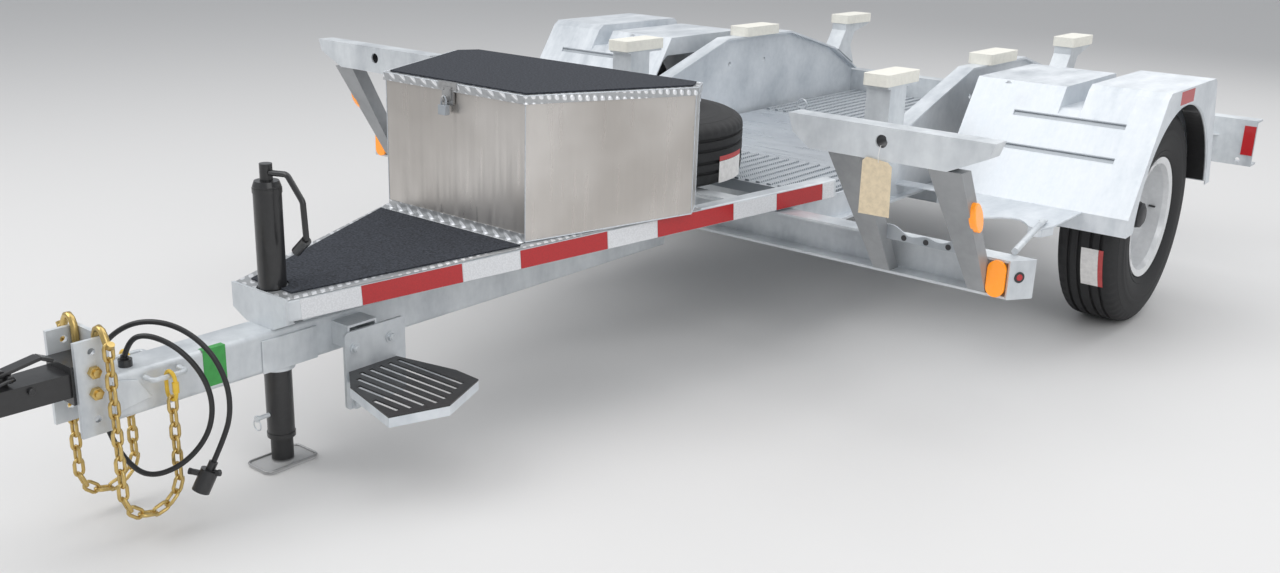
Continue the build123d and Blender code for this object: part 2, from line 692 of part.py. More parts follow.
# Folded wings, rods and outriggers carry the fenders off the side plates and cross-member.
PLATE_FACE = SIDE_X + SIDE_WALL / 2 + GAP
with BuildPart() as fender_wings:
    for side, s in SIDES:
        with BuildSketch(Plane.YZ.offset(s * PLATE_FACE)):
            with BuildLine():
                Polyline((FENDER_LIP - 62, 452), (FENDER_LIP - GAP, 452), (FENDER_LIP - GAP, 446),
                         (FENDER_LIP - 56, 446), (FENDER_LIP - 56, 412), (FENDER_LIP - 62, 412), close=True)
            make_face()
        extrude(amount=s * (1150 - SIDE_X))
save(fender_wings.part, "fender_wings")

STRUT_R = 9
with BuildPart() as fender_struts:
    for side, s in SIDES:
        low_end = Vector(s * 1234, CROSS_FRONT + CROSS_DEPTH - 3, CROSS_TOP + STRUT_R + 3 * GAP)
        high_end = Vector(s * 1130, FENDER_LIP - 66, 436)
        path = high_end - low_end
        with BuildSketch(Plane(origin=low_end, z_dir=path)):
            Circle(STRUT_R)
        extrude(amount=path.length - 4)
save(fender_struts.part, "fender_struts")

with BuildPart() as fender_outriggers:
    for side, s in SIDES:
        with BuildSketch(Plane.YZ.offset(s * PLATE_FACE)):
            with Locations((AXLE_Y + 180, SHELF_Z - SHEET - 25 - GAP)):
                Rectangle(90, 50)
                Rectangle(78, 38, mode=Mode.SUBTRACT)
        extrude(amount=s * (HUMP_X - SIDE_X - 30))
save(fender_outriggers.part, "fender_outriggers")

# V supports: boat-shaped bolster on two tapered legs that lean forward from the cross-member.
BOLSTER_WALL = 6


def bolster_outline(s, inset):
    """Front view of the bolster, mirrored by s, its walls drawn in by inset."""
    return [(s * (V_IN + inset), V_TOP - inset), (s * (V_OUT - inset), V_TOP - inset),
            (s * (V_OUT - 14 - inset), 790), (s * (V_OUT - 118), V_LOW + inset),
            (s * (V_IN + 70), V_LOW + inset),
            (s * (V_IN + 16 + inset), 782)]


for side, s in SIDES:
    with BuildPart() as bolster:
        with BuildSketch(Plane(origin=(0, V_FACE, 0), x_dir=(1, 0, 0), z_dir=(0, -1, 0))):
            with BuildLine():
                Polyline(*bolster_outline(s, 0), close=True)
            make_face()
        extrude(amount=-V_DEPTH)
        with BuildSketch(Plane(origin=(0, V_FACE + BOLSTER_WALL, 0), x_dir=(1, 0, 0), z_dir=(0, -1, 0))):
            with BuildLine():
                Polyline(*bolster_outline(s, BOLSTER_WALL), close=True)
            make_face()
        extrude(amount=-V_DEPTH, mode=Mode.SUBTRACT)
        with Locations(Location((s * V_EYE_X, V_FACE, 791.5), (90, 0, 0))):
            Hole(17)
    save(bolster.part, f"v_bolster_{side}")

LEG_SPREADS = ((V_IN + 195, V_IN + 169), (V_OUT - 101, V_OUT - 126))
with BuildPart() as v_legs:
    for s in (1, -1):
        for x_low, x_high in LEG_SPREADS:
            with BuildSketch(Plane.XY.offset(CROSS_LOW + 7 + GAP)):
                with Locations((s * x_low, CROSS_FRONT + 26)):
                    Rectangle(50, 52)
            with BuildSketch(Plane.XY.offset(V_LOW - GAP)):
                with Locations((s * x_high, V_FACE + 34)):
                    Rectangle(90, 56)
            loft()
        # clear the cross-member's upper flange
        with BuildSketch(Plane.XY.offset(CROSS_TOP - 7 - GAP)):
            with Locations((s * (V_IN + 310), CROSS_FRONT + 100)):
                Rectangle(600, 200)
        extrude(amount=7 + 2 * GAP, mode=Mode.SUBTRACT)
save(v_legs.part, "v_legs")

# Fold-down boarding step on the tongue's left side.
with BuildPart() as step_bracket:
    with BuildSketch(Plane.YZ.offset(TUBE / 2 + GAP)):
        with Locations((AXLE_Y - 2470, 320)):
            Rectangle(90, 60)
            Rectangle(78, 48, mode=Mode.SUBTRACT)
    extrude(amount=62)
    with BuildSketch(Plane.YZ.offset(TUBE / 2 + 62)):
        with Locations((AXLE_Y - 2436, 236)):
            RectangleRounded(190, 200, 12)
    extrude(amount=8)
save(step_bracket.part, "step_bracket")

STEP_TOP = 236
STEP_IN = TUBE / 2 + 70 + GAP
step_plan = [
    (STEP_IN, AXLE_Y - 2612), (STEP_IN, AXLE_Y - 2372), (305, AXLE_Y - 2334), (398, AXLE_Y - 2356),
    (446, AXLE_Y - 2490), (412, AXLE_Y - 2628), (318, AXLE_Y - 2642)]
with BuildPart() as step_tread:
    with BuildSketch(Plane.XY.offset(STEP_TOP - 44)):
        with BuildLine():
            Polyline(*step_plan, close=True)
        make_face()
    extrude(amount=44)
    with BuildSketch(Plane.XY.offset(STEP_TOP - 45)):
        with BuildLine():
            Polyline(*step_plan, close=True)
        make_face()
        offset(amount=-5, mode=Mode.REPLACE)
    extrude(amount=40, mode=Mode.SUBTRACT)
    with BuildSketch(Plane.XY.offset(STEP_TOP - 6)):
        with Locations((STEP_IN + 130, AXLE_Y - 2487)):
            with GridLocations(0, 30, 1, 7):
                SlotOverall(190, 13)
    extrude(amount=8, mode=Mode.SUBTRACT)
save(step_tread.part, "step_tread")

# Lamps: amber ovals on the cross-member and the outer legs, red tail lamps on the bumper.
with BuildPart() as marker_lamps:
    for s in (1, -1):
        with BuildSketch(Plane(origin=(0, CROSS_FRONT - GAP, 0), x_dir=(1, 0, 0), z_dir=(0, -1, 0))):
            with Locations((s * (CROSS_HALF - 27), (CROSS_LOW + CROSS_TOP) / 2)):
                SlotOverall(100, 50, rotation=90)
        extrude(amount=9)
save(marker_lamps.part, "marker_lamps")
with BuildPart() as tail_lamps:
    for s in (1, -1):
        with BuildSketch(Plane(origin=(0, BUMPER_Y + PLATE + GAP, 0), x_dir=(-1, 0, 0), z_dir=(0, 1, 0))):
            with Locations((s * (HALF_WIDTH - 175), 490)):
                SlotOverall(160, 60)
        extrude(amount=30)
save(tail_lamps.part, "tail_lamps")

# Safety chains: hooked over the channel, down, round a loop and up to eyes on the tube.
CHAIN_X = 90
CHAIN_FRONT = TUBE_FRONT - 17
CHAIN_BACK = AXLE_Y - 2975
CHAIN_TOP = 440
CHAIN_LOW = 50
LINKS = 23
LINK_WIRE = 7
LINK_W = 25
EYE_Z = 350
EYE_R = 6
RING_LONG = 74
RING_W = 44
RING_WIRE = 9
ring_z = EYE_Z + EYE_R - RING_LONG / 2 + RING_WIRE
ring_low = ring_z - RING_LONG / 2 + RING_WIRE
bend_r = (CHAIN_BACK - CHAIN_FRONT) / 2
bend_z = CHAIN_LOW + bend_r
drop = CHAIN_TOP - bend_z
half_loop = math.pi * bend_r
# The last link hangs in the ring, so the pitch is the run shared between the links.
link_pitch = (drop + half_loop + ring_low - bend_z) / (LINKS - 0.5)
LINK_LONG = link_pitch + 2 * LINK_WIRE - 0.6


def chain_place(travel):
    """Place (y, z) and heading in degrees after a travel down, round the loop and up."""
    if travel < drop:
        return CHAIN_FRONT, CHAIN_TOP - travel, -90
    if travel < drop + half_loop:
        a = (travel - drop) / bend_r
        return (CHAIN_FRONT + bend_r * (1 - math.cos(a)), bend_z - bend_r * math.sin(a),
                -90 + math.degrees(a))
    return CHAIN_BACK, bend_z + travel - drop - half_loop, 90


with BuildPart() as safety_chains:
    for s in (1, -1):
        for i in range(LINKS):
            y, z, heading = chain_place(i * link_pitch)
            a = math.radians(heading)
            along = Vector(0, math.cos(a), math.sin(a))
            sideways = Vector(1, 0, 0)
            normal = sideways if i % 2 == 0 else along.cross(sideways)
            middle = Vector(s * CHAIN_X, y, z)
            with BuildSketch(Plane(origin=middle - normal * (LINK_WIRE / 2), x_dir=along, z_dir=normal)):
                SlotOverall(LINK_LONG, LINK_W)
                SlotOverall(LINK_LONG - 2 * LINK_WIRE, LINK_W - 2 * LINK_WIRE, mode=Mode.SUBTRACT)
            extrude(amount=LINK_WIRE)
        with BuildSketch(Plane.XZ.offset(-CHAIN_BACK - RING_WIRE / 2)):
            with Locations((s * CHAIN_X, ring_z)):
                SlotOverall(RING_LONG, RING_W, rotation=90)
                SlotOverall(RING_LONG - 2 * RING_WIRE, RING_W - 2 * RING_WIRE, rotation=90,
                            mode=Mode.SUBTRACT)
        extrude(amount=RING_WIRE)
save(safety_chains.part, "safety_chains")

EYE_ROOT = TUBE / 2 + EYE_R + GAP
EYE_BACK = 40
with BuildPart() as chain_eyes:
    for side, s in SIDES:
        with BuildLine() as rod:
            FilletPolyline(
                (s * EYE_ROOT, CHAIN_BACK - EYE_BACK, EYE_Z), (s * CHAIN_X, CHAIN_BACK - EYE_BACK, EYE_Z),
                (s * CHAIN_X, CHAIN_BACK + EYE_BACK, EYE_Z), (s * EYE_ROOT, CHAIN_BACK + EYE_BACK, EYE_Z),
                radius=12)
        with BuildSketch(Plane(origin=rod.line @ 0, z_dir=rod.line % 0)):
            Circle(EYE_R)
        sweep()
save(chain_eyes.part, "chain_eyes")

HOOK_X = CHANNEL_HALF + 1
hook_plan = [
    (38, 428), (48, 428), (48, CHANNEL_HIGH + GAP), (HOOK_X, CHANNEL_HIGH + GAP), (HOOK_X, 446),
    (CHAIN_X + 18, 446), (CHAIN_X + 18, 470), (CHAIN_X + 11, 470), (CHAIN_X + 8, 453.6), (75, 453.6),
    (73, 480), (62, 488), (44, 486), (38, 476)]
with BuildPart() as chain_hooks:
    for side, s in SIDES:
        with BuildSketch(Plane(origin=(0, CHAIN_FRONT + 4, 0), x_dir=(1, 0, 0), z_dir=(0, -1, 0))):
            with BuildLine():
                Polyline(*[(s * x, z) for x, z in hook_plan], close=True)
            make_face()
        extrude(amount=8)
save(chain_hooks.part, "chain_hooks")

# Lamp cable: out of a gland on the tongue, once round it, then down to its plug.
CABLE_D = 12
#   x    y from axle  z
CABLE_ROUTE = (
    (10, -3030, 390), (20, -3022, 430), (64, -3002, 446), (112, -2966, 420), (142, -2930, 358),
    (148, -2912, 280), (140, -2928, 205), (122, -2984, 150), (78, -3040, 128), (8, -3052, 152),
    (-58, -3050, 205), (-96, -3046, 280), (-92, -3040, 362), (-46, -3028, 424), (20, -2996, 466),
    (92, -2952, 462), (148, -2912, 410), (172, -2890, 332), (172, -2888, 256), (160, -2904, 196),
    (152, -2926, 150))
route = [Vector(x, AXLE_Y + y, z) for x, y, z in CABLE_ROUTE]
radii = []
for before, here, after in zip(route, route[1:], route[2:]):
    first = here - before
    second = after - here
    turn = math.radians(first.get_angle(second))
    radii.append(0.45 * min(first.length, second.length) / math.tan(turn / 2))
print("cable runs", [round((b - a).length) for a, b in zip(route, route[1:])])
print("cable radii", [round(r) for r in radii])
with BuildPart() as cable:
    with BuildLine() as cable_line:
        FilletPolyline(*route, radius=radii)
    with BuildSketch(Plane(origin=cable_line.line @ 0, z_dir=cable_line.line % 0)):
        Circle(CABLE_D / 2)
    sweep()
save(cable.part, "lamp_cable")

with BuildPart() as gland:
    with BuildSketch(Plane.XY.offset(TUBE_TOP)):
        with Locations((10, AXLE_Y - 3030)):
            Circle(15)
    extrude(amount=route[0].Z - 6 - TUBE_TOP)
    with BuildSketch(Plane(origin=route[0], z_dir=route[0] - route[1])):
        Circle(9)
    extrude(amount=14)
save(gland.part, "cable_gland")

plug_dir = (route[-1] - route[-2]).normalized()
with BuildPart() as plug:
    with BuildSketch(Plane(origin=route[-1], z_dir=plug_dir)):
        Circle(10)
    extrude(amount=22)
    with BuildSketch(Plane(origin=route[-1] + plug_dir * 20, z_dir=plug_dir)):
        Circle(20)
    extrude(amount=52)
save(plug.part, "cable_plug")
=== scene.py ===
import math
import bpy
from mathutils import Matrix, Vector


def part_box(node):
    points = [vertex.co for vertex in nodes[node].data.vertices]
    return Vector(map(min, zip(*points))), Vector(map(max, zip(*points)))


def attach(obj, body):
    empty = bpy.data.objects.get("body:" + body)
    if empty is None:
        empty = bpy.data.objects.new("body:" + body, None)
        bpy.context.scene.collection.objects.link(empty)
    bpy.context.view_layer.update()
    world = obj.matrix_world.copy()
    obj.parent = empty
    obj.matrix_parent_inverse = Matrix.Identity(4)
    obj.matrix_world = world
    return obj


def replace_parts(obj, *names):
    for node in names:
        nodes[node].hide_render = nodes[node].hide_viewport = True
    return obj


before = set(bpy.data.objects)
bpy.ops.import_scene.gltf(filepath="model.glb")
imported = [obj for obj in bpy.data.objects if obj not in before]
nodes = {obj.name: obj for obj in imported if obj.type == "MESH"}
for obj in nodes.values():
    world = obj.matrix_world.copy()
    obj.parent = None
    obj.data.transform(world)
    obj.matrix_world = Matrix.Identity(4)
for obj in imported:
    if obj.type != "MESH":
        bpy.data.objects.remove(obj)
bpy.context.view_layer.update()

AXLE_Y = 1.150
WHEEL_X = 1.145
WHEEL_Z = 0.368
SPARE = (-0.115, -0.008, 0.597)
JACK_Y = -1.490
scene = bpy.context.scene
scene.view_settings.view_transform = "Standard"

# ---------------------------------------------------------------- camera
YAW = math.radians(37.8412)
PITCH = math.radians(17.8034)
ROLL = math.radians(1.9349)
cam_data = bpy.data.cameras.new("camera")
cam_data.sensor_width = 36
cam_data.lens = 35.35
cam_data.clip_end = 100
cam = bpy.data.objects.new("camera", cam_data)
scene.collection.objects.link(cam)
fwd = Vector((-math.sin(YAW) * math.cos(PITCH), math.cos(YAW) * math.cos(PITCH), -math.sin(PITCH)))
right = Vector((math.cos(YAW), math.sin(YAW), 0))
up = right.cross(fwd)
cam_x = right * math.cos(ROLL) + up * math.sin(ROLL)
cam_y = up * math.cos(ROLL) - right * math.sin(ROLL)
cam_turn = Matrix((cam_x, cam_y, -fwd)).transposed().to_4x4()
cam.matrix_world = Matrix.Translation((2.4198, -3.1881, 1.3926)) @ cam_turn
scene.camera = cam


# ---------------------------------------------------------------- materials
def material(name, base, rough, metal=0.0, coat=0.0):
    """A principled material; returns it with its node tree and shader."""
    m = bpy.data.materials.new(name)
    m.use_nodes = True
    tree = m.node_tree
    shader = tree.nodes["Principled BSDF"]
    shader.inputs["Base Color"].default_value = (*base, 1)
    shader.inputs["Roughness"].default_value = rough
    shader.inputs["Metallic"].default_value = metal
    shader.inputs["Coat Weight"].default_value = coat
    return m, tree, shader


def noise(tree, scale, stretch=(1, 1, 1), detail=4.0, rough=0.55):
    """Noise over the piece's own coordinates; stretch squeezes it along an axis."""
    place = tree.nodes.new("ShaderNodeTexCoord")
    mapping = tree.nodes.new("ShaderNodeMapping")
    mapping.inputs["Scale"].default_value = stretch
    n = tree.nodes.new("ShaderNodeTexNoise")
    n.inputs["Scale"].default_value = scale
    n.inputs["Detail"].default_value = detail
    n.inputs["Roughness"].default_value = rough
    tree.links.new(place.outputs["Object"], mapping.inputs["Vector"])
    tree.links.new(mapping.outputs["Vector"], n.inputs["Vector"])
    return n.outputs["Fac"]


def ramp(tree, fac, stops):
    """Colour ramp over fac; stops are (place, colour)."""
    r = tree.nodes.new("ShaderNodeValToRGB")
    while len(r.color_ramp.elements) < len(stops):
        r.color_ramp.elements.new(0.5)
    for e, (place, colour) in zip(r.color_ramp.elements, stops):
        e.position = place
        e.color = (*colour, 1)
    tree.links.new(fac, r.inputs["Fac"])
    return r.outputs["Color"]


def paint(tree, shader, fac, stops):
    """Base colour from a ramp over fac."""
    tree.links.new(ramp(tree, fac, stops), shader.inputs["Base Color"])


def upward(tree, place, output):
    """Z part of one output of a texture coordinate node."""
    split = tree.nodes.new("ShaderNodeSeparateXYZ")
    tree.links.new(place.outputs[output], split.inputs["Vector"])
    return split.outputs["Z"]


def times(tree, a, b):
    """Product of two values."""
    product = tree.nodes.new("ShaderNodeMath")
    product.operation = "MULTIPLY"
    tree.links.new(a, product.inputs[0])
    tree.links.new(b, product.inputs[1])
    return product.outputs[0]


def spread(tree, fac, low, high, start=0.0, end=1.0):
    """Maps fac from start..end to low..high."""
    r = tree.nodes.new("ShaderNodeMapRange")
    r.inputs["From Min"].default_value = start
    r.inputs["From Max"].default_value = end
    r.inputs["To Min"].default_value = low
    r.inputs["To Max"].default_value = high
    tree.links.new(fac, r.inputs["Value"])
    return r.outputs["Result"]


def bump(tree, shader, height, strength, distance):
    """Surface relief from a height value."""
    b = tree.nodes.new("ShaderNodeBump")
    b.inputs["Strength"].default_value = strength
    b.inputs["Distance"].default_value = distance
    tree.links.new(height, b.inputs["Height"])
    tree.links.new(b.outputs["Normal"], shader.inputs["Normal"])


def galvanised(name, light, dark, stretch):
    """Hot-dip zinc: pale patches and runs over a blue-grey ground."""
    m, tree, shader = material(name, light, 0.42, 0.35)
    runs = noise(tree, 7, stretch, 5, 0.62)
    cells = noise(tree, 42, (1, 1, 1), 3, 0.5)
    mix = tree.nodes.new("ShaderNodeMath")
    mix.operation = "MULTIPLY_ADD"
    mix.inputs[1].default_value = 0.25
    tree.links.new(cells, mix.inputs[0])
    tree.links.new(runs, mix.inputs[2])
    middle = tuple((a + b) / 2 for a, b in zip(light, dark))
    paint(tree, shader, mix.outputs[0], ((0.40, dark), (0.60, middle), (0.82, light)))
    tree.links.new(spread(tree, mix.outputs[0], 0.30, 0.55, 0.4, 0.8), shader.inputs["Roughness"])
    bump(tree, shader, runs, 0.12, 0.004)
    return m


def diamond_plate(name):
    """Bright tread sheet: a crossed relief pattern, left off the faces that look down; its colour is painted shade
    between the raised diamonds and painted highlight on them.
    """
    m, tree, shader = material(name, (0.72, 0.74, 0.76), 0.28, 0.6)
    place = tree.nodes.new("ShaderNodeTexCoord")
    heights = []
    for turn in (45, -45):
        mapping = tree.nodes.new("ShaderNodeMapping")
        mapping.inputs["Rotation"].default_value = (math.radians(turn),) * 3
        mapping.inputs["Scale"].default_value = (15, 15, 15)
        wave = tree.nodes.new("ShaderNodeTexWave")
        wave.inputs["Scale"].default_value = 1.0
        wave.inputs["Distortion"].default_value = 0.0
        tree.links.new(place.outputs["Object"], mapping.inputs["Vector"])
        tree.links.new(mapping.outputs["Vector"], wave.inputs["Vector"])
        heights.append(wave.outputs["Fac"])
    not_below = tree.nodes.new("ShaderNodeMath")
    not_below.operation = "GREATER_THAN"
    not_below.inputs[1].default_value = -0.5
    tree.links.new(upward(tree, place, "Normal"), not_below.inputs[0])
    pattern = times(tree, times(tree, *heights), not_below.outputs[0])
    bump(tree, shader, pattern, 0.6, 0.003)
    # Darker between the raised diamonds and lighter on them: painted shade and painted highlight.
    paint(tree, shader, pattern, ((0.25, (0.46, 0.47, 0.48)), (0.5, (0.90, 0.91, 0.93))))
    return m


def brushed(name, light, dark, stretch):
    """Mill-finish sheet with a fine grain and soft cloudy reflections painted into its colour."""
    m, tree, shader = material(name, light, 0.32, 0.85)
    painted_reflection = noise(tree, 2.6, (1, 1, 1), 3, 0.5)
    grain = noise(tree, 60, stretch, 2, 0.5)
    # Cloudy light and dark tone: painted reflection.
    paint(tree, shader, painted_reflection, ((0.36, dark), (0.62, light)))
    tree.links.new(spread(tree, grain, 0.24, 0.46, 0.3, 0.7), shader.inputs["Roughness"])
    bump(tree, shader, grain, 0.05, 0.001)
    return m


def speckled(name, base, rough, scale, depth, coat=0.0, metal=0.0, contrast=0.08):
    """One colour with a fine grain in tone and relief."""
    m, tree, shader = material(name, base, rough, metal, coat)
    grain = noise(tree, scale, (1, 1, 1), 4, 0.6)
    lift = tuple(min(1.0, c * (1 + contrast) + 0.002) for c in base)
    low = tuple(c * (1 - contrast) for c in base)
    paint(tree, shader, grain, ((0.35, low), (0.5, base), (0.68, lift)))
    bump(tree, shader, grain, 0.35, depth)
    return m


def glow(name, base, strength):
    """A moulded lens: glossy, with a little light of its own."""
    m, tree, shader = material(name, base, 0.22, 0.0, 0.6)
    cells = noise(tree, 160, (1, 1, 1), 0, 0.5)
    bump(tree, shader, cells, 0.3, 0.002)
    shader.inputs["Emission Color"].default_value = (*base, 1)
    shader.inputs["Emission Strength"].default_value = strength
    return m


def retroreflective(name, base):
    """Reflective tape: a fine lattice of cells in one colour."""
    m, tree, shader = material(name, base, 0.35, 0.0, 0.4)
    place = tree.nodes.new("ShaderNodeTexCoord")
    cells = tree.nodes.new("ShaderNodeTexVoronoi")
    cells.inputs["Scale"].default_value = 240
    tree.links.new(place.outputs["Object"], cells.inputs["Vector"])
    low = tuple(c * 0.88 for c in base)
    paint(tree, shader, cells.outputs["Distance"], ((0.2, base), (0.7, low)))
    return m


def serrated(name, light, dark):
    """Zinc with closely spaced teeth along Y, as on a serrated grating; dark in the troughs between the teeth, a
    painted shade.
    """
    m, tree, shader = material(name, light, 0.42, 0.5)
    place = tree.nodes.new("ShaderNodeTexCoord")
    wave = tree.nodes.new("ShaderNodeTexWave")
    wave.bands_direction = "Y"
    wave.inputs["Scale"].default_value = 26
    tree.links.new(place.outputs["Object"], wave.inputs["Vector"])
    # Dark in the troughs, light on the teeth: painted shade.
    paint(tree, shader, wave.outputs["Fac"], ((0.15, dark), (0.55, light)))
    bump(tree, shader, wave.outputs["Fac"], 0.8, 0.004)
    return m


def two_tone(name, upper, sides):
    """One colour on upward faces and another on the sides, from the piece's own normals."""
    m, tree, shader = material(name, upper, 0.5)
    place = tree.nodes.new("ShaderNodeTexCoord")
    paint(tree, shader, upward(tree, place, "Normal"), ((0.3, sides), (0.6, upper)))
    return m


def banded(name, lower, upper, height):
    """One colour under a height of the piece's own frame and another over it."""
    m, tree, shader = material(name, upper, 0.4)
    place = tree.nodes.new("ShaderNodeTexCoord")
    paint(tree, shader, upward(tree, place, "Object"), ((height, lower), (height + 0.001, upper)))
    return m


M = {
    "galv": galvanised("galvanised", (0.76, 0.79, 0.81), (0.50, 0.53, 0.56), (1.0, 1.0, 0.35)),
    # A lighter copy of the zinc for the fenders and other broad sheets: painted light.
    "galv_painted_light": galvanised("galvanised_painted_light", (0.80, 0.83, 0.86), (0.58, 0.62, 0.66), (2.2, 0.7, 0.7)),
    # Darker copies of the zinc; where noted below they are painted shade.
    "galv_dark": galvanised("galvanised_dark", (0.52, 0.55, 0.58), (0.34, 0.37, 0.40), (1.0, 1.0, 0.5)),
    "galv_shade": galvanised("galvanised_shade", (0.40, 0.41, 0.42), (0.27, 0.28, 0.29), (1.0, 1.0, 0.5)),
    "weld": speckled("weld_zinc", (0.62, 0.65, 0.68), 0.4, 90, 0.003, 0.0, 0.6),
    # The warm tint of this mill aluminium is a painted reflection of warm brown surroundings; the metal itself is
    # neutral.
    "alu": brushed("mill_aluminium", (0.66, 0.63, 0.60), (0.50, 0.47, 0.44), (1, 1, 0.05)),
    "deck": brushed("deck_sheet", (0.74, 0.77, 0.80), (0.60, 0.63, 0.67), (0.1, 1, 1)),
    "grate": serrated("serrated_zinc", (0.70, 0.73, 0.76), (0.30, 0.33, 0.36)),
    "step": two_tone("step_enamel", (0.028, 0.028, 0.030), (0.42, 0.43, 0.43)),
    "leg": banded("jack_enamel", (0.45, 0.45, 0.45), (0.018, 0.018, 0.019), 0.011),
    "tread": diamond_plate("tread_plate"),
    "mat": speckled("grip_mat", (0.030, 0.034, 0.044), 0.92, 170, 0.004, 0.0, 0.0, 0.6),
    "black": speckled("black_enamel", (0.018, 0.018, 0.019), 0.34, 60, 0.001, 0.3),
    "cable": speckled("cable_jacket", (0.014, 0.014, 0.015), 0.42, 60, 0.0006, 0.1),
    "gold": speckled("yellow_zinc", (0.62, 0.45, 0.17), 0.30, 70, 0.0008, 0.0, 0.9),
    "yellow": speckled("yellow_enamel", (0.80, 0.52, 0.05), 0.4, 60, 0.0008),
    "steel": speckled("plain_steel", (0.42, 0.42, 0.42), 0.35, 80, 0.0008, 0.0, 0.85),
    "rubber": speckled("tyre_rubber", (0.020, 0.020, 0.021), 0.72, 120, 0.0012),
    "silver": speckled("wheel_enamel", (0.72, 0.73, 0.74), 0.28, 60, 0.0003, 0.5, 0.25, 0.04),
    "dark": speckled("hub_enamel", (0.035, 0.035, 0.038), 0.45, 60, 0.001),
    "pad": speckled("pad_plastic", (0.86, 0.84, 0.76), 0.62, 50, 0.0006, 0.0, 0.0, 0.04),
    "amber": glow("amber_lens", (0.95, 0.30, 0.01), 0.35),
    "red": glow("red_lens", (0.45, 0.01, 0.015), 0.10),
    "tape_red": retroreflective("tape_red", (0.50, 0.010, 0.014)),
    "tape_white": retroreflective("tape_white", (0.80, 0.81, 0.83)),
    "tape_green": speckled("tape_green", (0.05, 0.33, 0.07), 0.4, 60, 0.0004),
    "paper": speckled("tag_paper", (0.74, 0.62, 0.44), 0.85, 80, 0.0004),
    "label": speckled("blank_label", (0.84, 0.82, 0.80), 0.6, 60, 0.0003),
    "label_red": speckled("label_band", (0.55, 0.08, 0.08), 0.6, 60, 0.0003),
}

# Sheets that take the lighter zinc, a painted light.
PAINTED_LIGHT_SHEETS = ("fender_left", "fender_right", "side_plate_left", "side_plate_right")
BY_NODE = {n: "galv" for n in nodes}
BY_NODE.update({n: "galv_painted_light" for n in PAINTED_LIGHT_SHEETS})
BY_NODE.update({
    # The V legs, axle beam and torsion arms take darker zinc: painted shade.
    "v_legs": "galv_shade", "axle_beam": "galv_dark", "torsion_arms": "galv_dark", "deck_plate": "deck",
    "toolbox_body": "alu", "toolbox_lid": "tread", "tongue_deck": "tread", "grating_front": "grate",
    "grating_rear": "grate", "toolbox_hasp": "steel", "tongue_mat": "mat",
    "toolbox_lid_mat": "mat", "coupler_head": "black", "coupler_latch": "black", "jack_tube": "black",
    "jack_handle": "black", "jack_leg": "leg", "step_tread": "step", "coupler_bolts": "gold",
    "safety_chains": "gold", "chain_hooks": "gold", "tyre_left": "rubber", "tyre_right": "rubber",
    "spare_tyre": "rubber", "wheel_left": "silver", "wheel_right": "silver", "spare_wheel": "silver",
    "hub_left": "dark", "hub_right": "dark", "pads_left": "pad", "pads_right": "pad",
    "marker_lamps": "amber", "tail_lamps": "red", "lamp_cable": "cable", "cable_gland": "black",
    "cable_plug": "black"})
for name, key in BY_NODE.items():
    nodes[name].data.materials.clear()
    nodes[name].data.materials.append(M[key])


